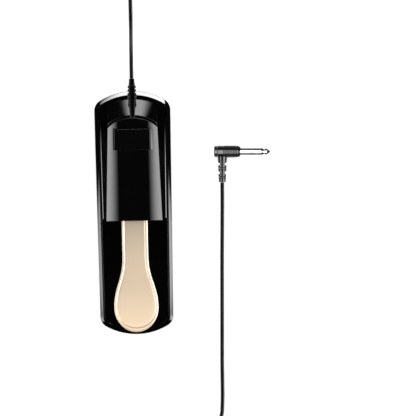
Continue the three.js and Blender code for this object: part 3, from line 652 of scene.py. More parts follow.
def gloss_abs(name, colour="#010101"):
    """Housing mouldings: black ABS from a polished mould, a mirror gloss with a trace of orange peel."""
    material, tree, shader, coords = finish(name, colour, 0.07)
    handled = add_node(tree, "ShaderNodeTexNoise", {"Scale": 1000 / 18, "Detail": 4}, {"Vector": coords})
    vary_roughness(tree, shader, handled.outputs["Fac"], 0.05, 0.1)
    peel = add_node(tree, "ShaderNodeTexNoise", {"Scale": 1000 / 7, "Detail": 1}, {"Vector": coords})
    relief(tree, shader, peel.outputs["Fac"], 0.012)
    return material


# The rim's edge, broad top and inner edge as arcs: radius, tilt from level at its start and at its
# end in degrees, outwards positive, and steps
RIM_ARCS = ((1.2, 90, 42, 5), (8.6, 42, 15, 10), (0.45, 15, -90, 8))


def rim_section():
    """The rim from outside to inside as (inset, level below the crest)."""
    points = [(0.0, 0.0)]
    for radius, first, last, steps in RIM_ARCS:
        x, z = points[-1]
        start = math.radians(first)
        for k in range(1, steps + 1):
            tilt = math.radians(first + (last - first) * k / steps)
            points.append((x + radius * (math.sin(start) - math.sin(tilt)),
                           z + radius * (math.cos(tilt) - math.cos(start))))
    top = max(z for _, z in points)
    return [(x, z - top) for x, z in points]


outline = case_outline()


def case_ring(inset, level):
    """The housing outline drawn in by inset, at a level that may depend on y."""
    ring = []
    for x, y, nx, ny in outline:
        px, py = x - nx * inset, y - ny * inset
        ring.append(Vector((px, py, level(y) if callable(level) else level)) * MM)
    return ring


case_rows = [case_ring(CASE_WALL, CASE_UNDER), case_ring(CASE_WALL, CASE_LOW + 0.3),
             case_ring(CASE_WALL - 0.3, CASE_LOW), case_ring(0.4, CASE_LOW), case_ring(0, CASE_LOW + 0.4)]
for inset, drop in rim_section():
    case_rows.append(case_ring(inset, lambda y, drop=drop: rim_height(y) + drop))
case_rows += [case_ring(RIM_WIDTH, CASE_FLOOR + 0.8), case_ring(RIM_WIDTH + 0.25, CASE_FLOOR + 0.25),
              case_ring(RIM_WIDTH + 0.8, CASE_FLOOR), case_ring(RIM_WIDTH + 0.95, CASE_FLOOR)]
case_vertices, case_faces = strips(case_rows, ring=True)
ring_size = len(outline)
case_faces.append(tuple(range(ring_size))[::-1])
case_faces.append(tuple(range((len(case_rows) - 1) * ring_size, len(case_rows) * ring_size)))


def block(low, high):
    """A box as vertices and outward quads, in metres."""
    corners = [Vector((x, y, z)) * MM for z in (low[2], high[2]) for y in (low[1], high[1])
               for x in (low[0], high[0])]
    return corners, [(0, 2, 3, 1), (4, 5, 7, 6), (0, 1, 5, 4), (2, 6, 7, 3), (0, 4, 6, 2), (1, 3, 7, 5)]


def joined(*shapes):
    """Several (vertices, faces) shapes as one."""
    vertices, faces = [], []
    for more, quads in shapes:
        base = len(vertices)
        vertices += more
        faces += [tuple(base + k for k in quad) for quad in quads]
    return vertices, faces


case_shape = joined((case_vertices, case_faces), *(block(low, high) for low, high in CASE_POSTS))
make_piece("case_shell", *case_shape, gloss_abs("case_gloss_abs"), "housing", ["main_case"], "gloss_abs")


# ---- Top cover -----------------------------------------------------------------------------
# A second gloss-black ABS moulding closes the rear half: a deck just below the rim, a long hood
# over the mechanism with soft shoulders, a ramp under the cord, and a recess for the label plate.
COVER_FRONT = -7.5
COVER_FOOT = 8.3
DECK_DROP = 3.0
DECK_INSET = 4.8
ARC_CENTRE = 57.9
HOOD_REAR = 36.5
HOOD_LENGTH = 101.9
HOOD_HALF, HOOD_TAPER = 27.6, 3.3
HOOD_TOP, HOOD_FALL = 60, 3
HOOD_FLAT = 14.5
HOOD_ROUND = 0.7
SHOULDER_TILT = math.radians(40)
SLOT_HALF = 14.9
SLOT_TOP = 46
RECESS_HALF, RECESS_FRONT, RECESS_REAR, RECESS_FLOOR = 19.5, 62.4, 84, 56
RECESS_ROUND = 0.08


def hood_half(y):
    """Half width of the hood, which narrows towards the cord end."""
    return HOOD_HALF - HOOD_TAPER * (y - COVER_FRONT) / HOOD_LENGTH


def hood_top(y):
    """Height of the hood's middle, which falls a little towards the cord end."""
    return HOOD_TOP - HOOD_FALL * (y - COVER_FRONT) / HOOD_LENGTH


def hood_surface(x, y):
    """Height of the hood: flat in the middle, then round shoulders."""
    beyond = abs(x) - HOOD_FLAT
    if beyond <= 0:
        return hood_top(y)
    radius = (hood_half(y) - HOOD_FLAT) / math.sin(SHOULDER_TILT)
    return hood_top(y) - radius * (1 - math.sqrt(max(0, 1 - (beyond / radius) ** 2)))


PROBE = 0.3


def edge_fall(grid, surface, radius, low, steps=5, lean=0.0):
    """Rows that carry a grid's edge round a fillet and straight down. The fillet starts at the surface's
    own tilt, or at lean if that is more, and low gives the foot's height."""
    rows, columns = len(grid), len(grid[0])
    loop = [grid[0][k] for k in range(columns)] + [grid[j][-1] for j in range(1, rows)]
    loop += [grid[-1][k] for k in range(columns - 2, -1, -1)] + [grid[j][0] for j in range(rows - 2, 0, -1)]
    count = len(loop)
    rings = [[] for _ in range(steps + 2)]
    for k, (x, y, z) in enumerate(loop):
        before, after = loop[k - 1], loop[(k + 1) % count]
        sides = []
        for a, b in ((before, loop[k]), (loop[k], after)):
            run = math.hypot(b[0] - a[0], b[1] - a[1])
            if run > 1e-6:
                sides.append(((b[1] - a[1]) / run, (a[0] - b[0]) / run))
        nx, ny = sum(s[0] for s in sides), sum(s[1] for s in sides)
        size = math.hypot(nx, ny)
        nx, ny = nx / size, ny / size
        mitre = min(1.6, 1 / max(0.3, nx * sides[0][0] + ny * sides[0][1]))
        slope = math.atan2(surface(x - PROBE * nx, y - PROBE * ny) - surface(x, y), PROBE)
        slope = max(lean, slope)
        for j in range(steps + 1):
            tilt = slope + (math.pi / 2 - slope) * j / steps
            out = radius * (math.sin(tilt) - math.sin(slope)) * mitre
            drop = radius * (math.cos(slope) - math.cos(tilt))
            rings[j].append(Vector((x + nx * out, y + ny * out, z - drop)) * MM)
        far = rings[steps][-1]
        rings[steps + 1].append(Vector((far.x, far.y, low(x, y) * MM)))
    return rings


# The hood's grid: even rows to the recess and over it, and columns that follow the slot and the recess.
FRONT_ROWS, RECESS_ROWS = 30, 10
OUTER_COLUMNS = 7
right_columns = [5, 10, HOOD_FLAT, SLOT_HALF, 16.3, 18, RECESS_HALF]
inner_columns = [-x for x in reversed(right_columns)] + [0] + right_columns
first_row = COVER_FRONT + HOOD_ROUND
hood_rows = [first_row + (RECESS_FRONT - first_row) * k / FRONT_ROWS for k in range(FRONT_ROWS + 1)]
hood_rows[1] = first_row + 0.2
for k in range(1, RECESS_ROWS + 1):
    hood_rows.append(RECESS_FRONT + (RECESS_REAR - RECESS_FRONT) * k / RECESS_ROWS)


def hood_columns(y):
    """The x of each of the hood's columns at y."""
    edge = hood_half(y) - HOOD_ROUND * (1 - math.sin(SHOULDER_TILT))
    outer = [RECESS_HALF + (edge - RECESS_HALF) * k / OUTER_COLUMNS for k in range(1, OUTER_COLUMNS + 1)]
    outer[-2] = edge - 0.15
    return [-x for x in reversed(outer)] + inner_columns + outer


hood_grid = [[(x, y, hood_surface(x, y)) for x in hood_columns(y)] for y in hood_rows]
rear_reach = HOOD_REAR - HOOD_ROUND
for share in (0.12, 0.25, 0.4, 0.55, 0.7, 0.85, 0.98, 1):
    row = []
    for x in hood_columns(RECESS_REAR):
        y = RECESS_REAR + (ARC_CENTRE + math.sqrt(rear_reach ** 2 - x ** 2) - RECESS_REAR) * share
        row.append((x, y, hood_surface(x, y)))
    hood_grid.append(row)
recess_last = FRONT_ROWS + RECESS_ROWS
right_column = OUTER_COLUMNS + len(inner_columns) - 1
hood_vertices = [Vector(p) * MM for row in hood_grid for p in row]
columns = len(hood_grid[0])
hood_faces = []
for j in range(len(hood_grid) - 1):
    for k in range(columns - 1):
        if FRONT_ROWS <= j < recess_last and OUTER_COLUMNS <= k < right_column:
            continue
        a = j * columns + k
        hood_faces.append((a, a + 1, a + columns + 1, a + columns))


def recess_ring(inset, right_inset, level):
    """One ring of the recess wall, drawn in by inset, and by right_inset on its right."""
    front, rear = RECESS_FRONT + inset, RECESS_REAR - inset
    left, right = -RECESS_HALF + inset, RECESS_HALF - right_inset
    shares = [(x + RECESS_HALF) / (2 * RECESS_HALF) for x in inner_columns]
    across = [left + (right - left) * share for share in shares]
    ring = [(right, front + (rear - front) * k / RECESS_ROWS) for k in range(RECESS_ROWS + 1)]
    ring += [(x, rear) for x in reversed(across[1:-1])]
    ring += [(left, rear + (front - rear) * k / RECESS_ROWS) for k in range(RECESS_ROWS + 1)]
    ring += [(x, front) for x in across[1:-1]]
    return [Vector((x, y, level(x, y))) * MM for x, y in ring]


recess_rings = [recess_ring(0, 0, hood_surface)]
for k in range(1, 4):
    tilt = k * math.pi / 6
    inset, drop = RECESS_ROUND * math.sin(tilt), RECESS_ROUND * (1 - math.cos(tilt))
    recess_rings.append(recess_ring(inset, inset, lambda x, y, drop=drop: hood_surface(x, y) - drop))
recess_rings += [recess_ring(0.35, 1.5, lambda x, y: RECESS_FLOOR + 0.15),
                 recess_ring(0.5, 1.8, lambda x, y: RECESS_FLOOR)]
recess_vertices, recess_faces = strips(recess_rings, ring=True)
last = len(recess_rings[0])
recess_faces.append(tuple(range(len(recess_vertices) - last, len(recess_vertices))))


def hood_low(x, y):
    """How far down the hood's outer wall goes: to the deck, and to the case floor beside the slot."""
    if y < COVER_FRONT + 1:
        return SLOT_TOP if abs(x) <= SLOT_HALF + 0.01 else COVER_FOOT
    return rim_height(y) - DECK_DROP - 1.0


hood_rings = edge_fall(hood_grid, hood_surface, HOOD_ROUND, hood_low)
hood_shape = joined((hood_vertices, hood_faces), (recess_vertices, recess_faces),
                    strips(hood_rings, ring=True))


def shelled(name, shape, thickness):
    """A one-sided skin given a wall on its inner side, as a plain mesh."""
    mesh = welded(name, *shape)
    highest = max(mesh.polygons, key=lambda face: face.center.z)
    if highest.normal.z < 0:
        mesh.flip_normals()
    carrier = bpy.data.objects.new("carrier", mesh)
    scene.collection.objects.link(carrier)
    wall = carrier.modifiers.new("wall", "SOLIDIFY")
    wall.thickness = thickness * MM
    wall.offset = -1
    result = bpy.data.meshes.new_from_object(carrier.evaluated_get(bpy.context.evaluated_depsgraph_get()))
    bpy.data.objects.remove(carrier)
    return result


# The deck's outer edge is a faint bevel, rolled over to DECK_LEAN, then a tight fillet beside the rim.
# Its inner edge is tucked under the hood's foot.
DECK_ROUND = 0.3
DECK_BEVEL = 1.1
DECK_LEAN = math.radians(15)
DECK_TUCK = 1.2
DECK_FRONT = COVER_FRONT + 0.6
SIDE_END = 84
SIDE_HALF_RUN = 102.2
BEVEL_STEPS, DECK_STEPS = 5, 6


def deck_ends():
    """Pairs ((x, y) at the hood, (x, y) at the rim) down the right side and round to the rear's middle."""
    pairs = []
    inset = DECK_INSET + DECK_ROUND
    front_half, rear_half = CASE_HALF_WIDTHS[-1], CASE_HALF_WIDTHS[1]
    for k in range(33):
        y = DECK_FRONT + (SIDE_END - DECK_FRONT) * k / 32
        edge = front_half + (rear_half - front_half) * (y + SIDE_HALF_RUN) / (2 * SIDE_HALF_RUN)
        pairs.append(((hood_half(y) - DECK_TUCK, y), (edge - inset, y)))
    corner_x, corner_y, lean = corner_at(rear_half)
    outer = [(rear_half - inset, SIDE_END + (corner_y - SIDE_END) * k / 4) for k in range(1, 5)]
    for x, y, radius, first, last, steps in (
            (corner_x, corner_y, CORNER_RADIUS - inset, 0, lean, CORNER_STEPS),
            (0, BOW_CENTRE, END_RADIUS - inset, lean, math.pi / 2, END_STEPS // 2)):
        for k in range(1, steps + 1):
            turn = first + (last - first) * k / steps
            outer.append((x + radius * math.cos(turn), y + radius * math.sin(turn)))
    reach = HOOD_REAR - DECK_TUCK
    start = math.acos((hood_half(SIDE_END) - DECK_TUCK) / reach)
    for k, place in enumerate(outer, 1):
        turn = start + (math.pi / 2 - start) * k / len(outer)
        pairs.append(((reach * math.cos(turn), ARC_CENTRE + reach * math.sin(turn)), place))
    return pairs


def deck_grid():
    """Rows from the case rim in to the hood's foot, each from the front right round to the front left."""
    right = deck_ends()
    pairs = right + [((-a[0], a[1]), (-b[0], b[1])) for a, b in reversed(right[:-1])]
    roll_radius = DECK_BEVEL / math.sin(DECK_LEAN)
    grid = []
    for k in range(BEVEL_STEPS + DECK_STEPS + 1):
        row = []
        for (x0, y0), (x1, y1) in pairs:
            run = math.hypot(x1 - x0, y1 - y0)
            from_edge = DECK_BEVEL * k / BEVEL_STEPS
            if k > BEVEL_STEPS:
                from_edge = DECK_BEVEL + (run - DECK_BEVEL) * (k - BEVEL_STEPS) / DECK_STEPS
            t = 1 - from_edge / run
            x, y = x0 + (x1 - x0) * t, y0 + (y1 - y0) * t
            tilt = math.asin(max(0, DECK_BEVEL - from_edge) / DECK_BEVEL * math.sin(DECK_LEAN))
            row.append((x, y, deck_level(x, y) - roll_radius * (1 - math.cos(tilt))))
        grid.append(row)
    return grid


def deck_level(x, y):
    """Height of the deck, which follows the rim."""
    return rim_height(y) - DECK_DROP


def deck_low(x, y):
    """Foot of the deck's edge: down to the tray at the front, a short skirt elsewhere."""
    return COVER_FOOT if y < COVER_FRONT + 1 else deck_level(x, y) - 2.4


deck = deck_grid()
deck_vertices, deck_faces = strips([[Vector(p) * MM for p in row] for row in deck])
deck_rings = edge_fall(deck, deck_level, DECK_ROUND, deck_low, lean=DECK_LEAN)
deck_shape = joined((deck_vertices, deck_faces), strips(deck_rings, ring=True))

# The ramp: a level step behind the hood, then a cone down to the deck.
RAMP_HALF = HOOD_HALF - HOOD_TAPER
RAMP_EDGE = 0.03
RAMP_PROFILE = [(35.5, 45.5), (39.0, 45.5), (39.35, 45.44), (39.7, 45.27), (55.6, 39.0)]
cone_top, cone_foot = RAMP_PROFILE[-2:]
ramp_fine = RAMP_PROFILE[:4]
for k in range(1, 9):
    ramp_fine.append(tuple(a + (b - a) * k / 8 for a, b in zip(cone_top, cone_foot)))


def ramp_level(x, y):
    """Height of the ramp at a distance from the centre of the hood's rear arc."""
    reach = math.hypot(x, y - ARC_CENTRE)
    for (r0, z0), (r1, z1) in zip(RAMP_PROFILE, RAMP_PROFILE[1:]):
        if reach <= r1:
            return z0 + (z1 - z0) * max(0, reach - r0) / (r1 - r0)
    return RAMP_PROFILE[-1][1]


ramp_grid = []
for reach, level in ramp_fine:
    row = []
    for k in range(41):
        x = (RAMP_HALF - RAMP_EDGE) * (k / 20 - 1)
        row.append((x, ARC_CENTRE + math.sqrt(reach ** 2 - x ** 2), level))
    ramp_grid.append(row)
ramp_vertices, ramp_faces = strips([[Vector(p) * MM for p in row] for row in ramp_grid])
ramp_rings = edge_fall(ramp_grid, ramp_level, RAMP_EDGE, lambda x, y: 36.2)
ramp_shape = joined((ramp_vertices, ramp_faces), strips(ramp_rings, ring=True))

HOOD_WALL, DECK_WALL = 2.0, 1.6
cover_black = gloss_abs("cover_gloss_abs")
cover_mesh = bpy.data.meshes.new("cover_shell")
work = bmesh.new()
for name, shape, thickness in (("hood", hood_shape, HOOD_WALL), ("ramp", ramp_shape, DECK_WALL)):
    work.from_mesh(shelled(name, shape, thickness))
work.to_mesh(cover_mesh)
work.free()
cover_mesh.materials.append(cover_black)
settle("cover_shell", cover_mesh, "housing", ["top_cover"])
deck_mesh = shelled("cover_deck", deck_shape, DECK_WALL)
deck_mesh.materials.append(cover_black)
settle("cover_deck", deck_mesh, "housing", ["top_cover"])


# ---- Label plate ---------------------------------------------------------------------------
# A thin acrylic plate glued in the recess, gloss black and left blank.
PLATE_ROUND = 0.3
plate_left, plate_right = -RECESS_HALF + 1.0, RECESS_HALF - 2.4
plate_front, plate_rear = RECESS_FRONT + 1.0, RECESS_REAR - 1.0
plate_level = RECESS_FLOOR + 0.8
plate_x = (plate_left + PLATE_ROUND, plate_left + 0.4, 0, plate_right - 0.4, plate_right - PLATE_ROUND)
plate_y = (plate_front + PLATE_ROUND, plate_front + 0.4, plate_rear - 0.4, plate_rear - PLATE_ROUND)
plate_grid = [[(x, y, plate_level) for x in plate_x] for y in plate_y]
plate_top = strips([[Vector(p) * MM for p in row] for row in plate_grid])
plate_rings = edge_fall(plate_grid, lambda x, y: plate_level, PLATE_ROUND, lambda x, y: RECESS_FLOOR + 0.1, 3)
plate_side = strips(plate_rings, ring=True)
plate_under = (plate_rings[-1], [tuple(range(len(plate_rings[-1])))[::-1]])
make_piece("label_panel", *joined(plate_top, plate_side, plate_under),
           gloss_abs("label_gloss_acrylic", "#020202"), "housing", ["label_plate"], "gloss_abs")


# ---- Lever ---------------------------------------------------------------------------------
# One blank of sheet metal, pressed with a rolled rim and a fine crease inside it, then plated in
# champagne gold with a satin, bead-blasted finish.
LEVER_TAIL, LEVER_TIP = 78, -117.7
NECK_HALF, PADDLE_HALF = 12.9, 21.9
PADDLE_Y, FLARE_Y = -93.5, -44
LEVER_HEIGHT, LEVER_DIP = 41, 5
DIP_START, DIP_LENGTH = -5, 65
RIM_SPREAD = 0.9


def lever_top(y):
    """Height of the lever: level over the works, then down to the paddle in one easy bend."""
    return LEVER_HEIGHT - LEVER_DIP * ease((DIP_START - y) / DIP_LENGTH)


def lever_side():
    """The right-hand edge from tail to tip as (x, y) points with outward normals."""
    points = [(NECK_HALF, LEVER_TAIL + (FLARE_Y - LEVER_TAIL) * k / 24) for k in range(24)]
    flare = (FLARE_Y - PADDLE_Y) * 0.42
    corners = ((NECK_HALF, FLARE_Y), (NECK_HALF, FLARE_Y - flare), (PADDLE_HALF, PADDLE_Y + flare),
               (PADDLE_HALF, PADDLE_Y))
    for k in range(30):
        t = k / 30
        weights = ((1 - t) ** 3, 3 * t * (1 - t) ** 2, 3 * t * t * (1 - t), t ** 3)
        points.append(tuple(sum(w * c[axis] for w, c in zip(weights, corners)) for axis in (0, 1)))
    for k in range(41):
        turn = math.pi / 2 * k / 40
        points.append((PADDLE_HALF * math.cos(turn), PADDLE_Y + (LEVER_TIP - PADDLE_Y) * math.sin(turn)))
    out = []
    for k, (x, y) in enumerate(points):
        ax, ay = points[max(0, k - 1)]
        bx, by = points[min(len(points) - 1, k + 1)]
        run = math.hypot(bx - ax, by - ay)
        nx, ny = (ay - by) / run, (bx - ax) / run
        if k == len(points) - 1:
            nx, ny = 0, -1
        out.append((x, y, nx, ny))
    return out


# (inset, height over the lever's top) from the underside, round the rolled rim, to the crease
LEVER_EDGE = [(2.6, -2.0), (1.9, -2.15), (1.7, -2.6), (1.6, -3.6), (1.3, -4.0), (0.5, -4.0),
              (0.12, -3.75), (0, -3.3), (0, -1.5), (0.09, -1.05), (0.3, -0.6), (0.62, -0.26),
              (1.05, -0.06), (1.5, 0), (1.9, -0.08), (2.2, -0.28), (2.45, -0.42), (2.7, -0.45),
              (2.95, -0.38), (3.3, -0.22), (3.9, -0.12)]


def lever_ring(inset, rise):
    """One ring of the lever's edge, from the tail down the right side, round the tip and up the left.
    The rolled rim grows wider towards the tip."""
    right = []
    for x, y, nx, ny in lever_edge:
        drawn_in = inset * (1 + RIM_SPREAD * max(0, -ny) ** 3)
        px, py = x - nx * drawn_in, y - ny * drawn_in
        right.append(Vector((px, py, lever_top(py) + rise)) * MM)
    left = [Vector((-p.x, p.y, p.z)) for p in reversed(right[:-1])]
    return right + left


FILL_STEPS = 12
FULL_CROWN_WIDTH = 20


def lever_fill(ring, crown, turn):
    """Cross rows that close the inside of a ring, crowned by that much where the lever is wide."""
    half = len(ring) // 2
    rows = []
    for k in range(half + 1):
        right, left = ring[k], ring[len(ring) - 1 - k]
        row = []
        for j in range(FILL_STEPS + 1):
            t = j / FILL_STEPS
            p = right.lerp(left, t)
            p.z += crown * MM * 4 * t * (1 - t) * min(1, (right.x - left.x) / (FULL_CROWN_WIDTH * MM))
            row.append(p)
        rows.append(row)
    return strips(rows, turn=turn)


def satin_champagne():
    """Champagne-gold plate over a bead-blasted sheet: a soft metal glow with a grain of 0.3 mm."""
    material, tree, shader, coords = finish("lever_satin_champagne", "#F1D9B9", 0.36, 1.0)
    handled = add_node(tree, "ShaderNodeTexNoise", {"Scale": 1000 / 12, "Detail": 4}, {"Vector": coords})
    vary_roughness(tree, shader, handled.outputs["Fac"], 0.33, 0.4)
    blast = add_node(tree, "ShaderNodeTexNoise", {"Scale": 1000 / 0.3}, {"Vector": coords})
    relief(tree, shader, blast.outputs["Fac"], 0.008)
    return material


LEVER_CROWN = 0.12
lever_edge = lever_side()
lever_rows = [lever_ring(inset, rise) for inset, rise in LEVER_EDGE]
ends = len(lever_rows)
tail = ([row[0] for row in lever_rows] + [row[-1] for row in lever_rows],
        [tuple(range(ends)) + tuple(range(2 * ends - 1, ends - 1, -1))])
lever_shape = joined(strips(lever_rows, turn=True), lever_fill(lever_rows[-1], LEVER_CROWN, True),
                     lever_fill(lever_rows[0], 0.0, False), tail)
make_piece("lever_pressing", *lever_shape, satin_champagne(), "lever", ["lever"], "lever_metal")


# ---- Rubber mat ----------------------------------------------------------------------------
# Moulded black rubber glued under the steel base plate, with grip ribs across its underside.
MAT_INSET = 1.0
MAT_LOW, MAT_TOP = 0.6, 2.4
MAT_EDGE_WIDTH = 2.4
RIB_PITCH, RIB_WIDTH, RIB_LENGTH, RIB_HEIGHT = 6.0, 2.4, 62, 0.8
RIB_HALF_RUN = 102


def moulded_rubber():
    """Mat and pads: matt black moulded rubber with a leathery 0.6 mm grain."""
    material, tree, shader, coords = finish("mat_moulded_rubber", "#131313", 0.8)
    bloom = add_node(tree, "ShaderNodeTexNoise", {"Scale": 1000 / 14, "Detail": 3}, {"Vector": coords})
    vary_colour(tree, shader, bloom.outputs["Fac"], "#101010", "#191919")
    grain = add_node(tree, "ShaderNodeTexNoise", {"Scale": 1000 / 0.6, "Detail": 3}, {"Vector": coords})
    relief(tree, shader, grain.outputs["Fac"], 0.06)
    return material


def rib_tree():
    """Ribs across a mat: a row of long low bars set along Y, with the mat they stand on."""
    tree, given = open_tree("mat_ribs", ("Rib Length", "Rib Width", "Rib Height", "Half Run"), ("Ribs",))
    size = add_node(tree, "ShaderNodeCombineXYZ", links={
        "X": given["Rib Length"], "Y": given["Rib Width"], "Z": given["Rib Height"]})
    rib = add_node(tree, "GeometryNodeMeshCube", links={"Size": size.outputs[0]})
    back = add_node(tree, "ShaderNodeMath", {"operation": "MULTIPLY", 1: -1.0}, {0: given["Half Run"]})
    lift = add_node(tree, "ShaderNodeMath", {"operation": "MULTIPLY", 1: 0.5}, {0: given["Rib Height"]})
    first = add_node(tree, "ShaderNodeCombineXYZ", links={"Y": back.outputs[0], "Z": lift.outputs[0]})
    final = add_node(tree, "ShaderNodeCombineXYZ", links={"Y": given["Half Run"], "Z": lift.outputs[0]})
    line = add_node(tree, "GeometryNodeMeshLine", {"mode": "END_POINTS"}, {
        "Count": given["Ribs"], "Start Location": first.outputs[0], "Offset": final.outputs[0]})
    ribs = add_node(tree, "GeometryNodeInstanceOnPoints",
                    links={"Points": line.outputs[0], "Instance": rib.outputs["Mesh"]})
    return close_tree(tree, given, ribs.outputs[0])


rubber = moulded_rubber()
mat_rings = [case_ring(MAT_INSET + 0.4, MAT_LOW), case_ring(MAT_INSET, MAT_LOW + 0.4),
             case_ring(MAT_INSET, MAT_TOP - 0.35), case_ring(MAT_INSET + 0.35, MAT_TOP)]
mat_vertices, mat_faces = strips(mat_rings, ring=True)
mat_faces.append(tuple(range(ring_size))[::-1])
mat_faces.append(tuple(range(3 * ring_size, 4 * ring_size)))
edge_section = ((MAT_EDGE_WIDTH, MAT_LOW + 0.2), (MAT_EDGE_WIDTH, 0), (0.3, 0), (0, 0.3),
                (0, MAT_LOW + 0.2), (MAT_EDGE_WIDTH, MAT_LOW + 0.2))
mat_edge = [case_ring(MAT_INSET + inset, level) for inset, level in edge_section]
mat_shape = joined((mat_vertices, mat_faces), strips(mat_edge, ring=True))
mat_mesh = grown(welded("mat_blank", *mat_shape), rib_tree(), {
    "Rib Length": RIB_LENGTH * MM, "Rib Width": RIB_WIDTH * MM, "Rib Height": RIB_HEIGHT * MM,
    "Half Run": RIB_HALF_RUN * MM, "Ribs": round(2 * RIB_HALF_RUN / RIB_PITCH) + 1, "Material": rubber})
settle("grip_mat", mat_mesh, "housing", ["rubber_mat"])


# ---- Inner works ---------------------------------------------------------------------------
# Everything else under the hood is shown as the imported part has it: zinc-plated steel brackets and
# screws, a ground steel pin, nylon bushes and seats, a phenolic switch with brass terminals, felt.
def zinc_plate():
    """Zinc-plated mild steel: cool grey with a faint spangle."""
    material, tree, shader, coords = finish("works_zinc_plated_steel", "#B4B8BD", 0.38, 1.0)
    spangle = add_node(tree, "ShaderNodeTexVoronoi", {"Scale": 350}, {"Vector": coords}).outputs["Color"]
    vary_colour(tree, shader, spangle, "#A4A8AE", "#C3C7CB")
    handled = add_node(tree, "ShaderNodeTexNoise", {"Scale": 1000 / 3}, {"Vector": coords})
    vary_roughness(tree, shader, handled.outputs["Fac"], 0.3, 0.46)
    return material


def drawn_steel():
    """Spring wire, pin and clips: drawn steel, bright, with a light oil film in 2 mm patches."""
    material, tree, shader, coords = finish("works_drawn_steel", "#C2C4C6", 0.25, 1.0)
    oil = add_node(tree, "ShaderNodeTexNoise", {"Scale": 1000 / 2, "Detail": 3}, {"Vector": coords})
    vary_roughness(tree, shader, oil.outputs["Fac"], 0.18, 0.32)
    return material


def moulded_nylon():
    """Bushes, seats and clamp: natural nylon, creamy and slightly waxy."""
    material, tree, shader, coords = finish("works_natural_nylon", "#E6E2D6", 0.45)
    flow = add_node(tree, "ShaderNodeTexNoise", {"Scale": 1000 / 6}, {"Vector": coords})
    vary_colour(tree, shader, flow.outputs["Fac"], "#DFDACB", "#ECE9DF")
    grain = add_node(tree, "ShaderNodeTexNoise", {"Scale": 1000 / 0.5}, {"Vector": coords})
    relief(tree, shader, grain.outputs["Fac"], 0.01)
    return material


def phenolic():
    """Switch body: red phenolic moulding with a fine flow mottle."""
    material, tree, shader, coords = finish("switch_phenolic", "#8E241C", 0.38)
    mottle = add_node(tree, "ShaderNodeTexNoise", {"Scale": 1000 / 1.5, "Detail": 4}, {"Vector": coords})
    vary_colour(tree, shader, mottle.outputs["Fac"], "#7C1D17", "#9C2B20")
    return material


def tinned_brass():
    """Terminals: stamped brass, a little dulled by solder heat."""
    material, tree, shader, coords = finish("terminal_brass", "#C8A257", 0.32, 1.0)
    dulling = add_node(tree, "ShaderNodeTexNoise", {"Scale": 1000 / 1, "Detail": 3}, {"Vector": coords})
    vary_roughness(tree, shader, dulling.outputs["Fac"], 0.24, 0.45)
    return material


def wool_felt():
    """Rest pad: pressed grey felt, all short fibres."""
    material, tree, shader, coords = finish("stop_wool_felt", "#4B4B4E", 0.95)
    fibres = add_node(tree, "ShaderNodeTexNoise", {"Scale": 1000 / 0.4, "Detail": 4}, {"Vector": coords})
    vary_colour(tree, shader, fibres.outputs["Fac"], "#3D3D40", "#5A5A5D")
    relief(tree, shader, fibres.outputs["Fac"], 0.3)
    return material


zinc, steel, nylon, felt = zinc_plate(), drawn_steel(), moulded_nylon(), wool_felt()
works = {
    zinc: ["base_plate", "case_screw_front_left", "case_screw_front_right", "case_screw_rear_left",
           "case_screw_rear_right", "lever_bracket", "lever_rivet_front", "lever_rivet_rear", "pivot_stand",
           "stand_screw_front", "stand_screw_rear", "switch_bracket"],
    steel: ["pivot_pin", "pivot_clip_left", "pivot_clip_right", "switch_screw_left",
            "switch_screw_right", "clamp_screw_left", "clamp_screw_right"],
    nylon: ["pivot_bush_left", "pivot_bush_right", "spring_seat", "spring_guide", "switch_plunger",
            "cord_clamp"],
    felt: ["rest_pad"],
    rubber: ["press_pad"],
    phenolic(): ["switch_body"],
    tinned_brass(): ["switch_terminal_left", "switch_terminal_right"],
    jacket: ["cord_inner", "switch_wire_left", "switch_wire_right"],
}
for material, names in works.items():
    for name in names:
        mesh = frame["nodes"][name].data
        mesh.materials.clear()
        mesh.materials.append(material)


# ---- Return spring -------------------------------------------------------------------------
# Six turns of 1.8 mm spring wire between the seat on the case floor and the guide under the
# lever, drawn at rest; it stands on its own and does not go with the lever when pressed.
SPRING_FOOT = Vector((0, 20, 11.5))
SPRING_HEAD = Vector((0, 20, 37.8))
SPRING_TURNS = 6.0
SPRING_RADIUS, WIRE_RADIUS = 7, 0.9


def coil_tree():
    """A coil that rises from the origin along Z, swept from a spiral and a round wire."""
    tree, given = open_tree("spring_coil", ("Turns", "Coil Radius", "Wire Radius", "Rise"))
    spiral = add_node(tree, "GeometryNodeCurveSpiral", {"Resolution": 32}, {
        "Rotations": given["Turns"], "Start Radius": given["Coil Radius"],
        "End Radius": given["Coil Radius"], "Height": given["Rise"]})
    round_wire = add_node(tree, "GeometryNodeCurvePrimitiveCircle", {"Resolution": 12},
                          {"Radius": given["Wire Radius"]})
    swept = add_node(tree, "GeometryNodeCurveToMesh", {"Fill Caps": True}, {
        "Curve": spiral.outputs["Curve"], "Profile Curve": round_wire.outputs["Curve"]})
    return close_tree(tree, given, swept.outputs[0])


coil_mesh = grown(bpy.data.meshes.new("coil_blank"), coil_tree(), {
    "Turns": SPRING_TURNS, "Coil Radius": SPRING_RADIUS * MM, "Wire Radius": WIRE_RADIUS * MM,
    "Rise": (SPRING_HEAD - SPRING_FOOT).z * MM, "Material": steel})
coil_mesh.transform(Matrix.Translation(SPRING_FOOT * MM))
for face in coil_mesh.polygons:
    face.use_smooth = True
coil_mesh.set_sharp_from_angle(angle=SMOOTH_ANGLE)
coil = bpy.data.objects.new("spring_coil", coil_mesh)
scene.collection.objects.link(coil)
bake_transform(coil)
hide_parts("return_spring")


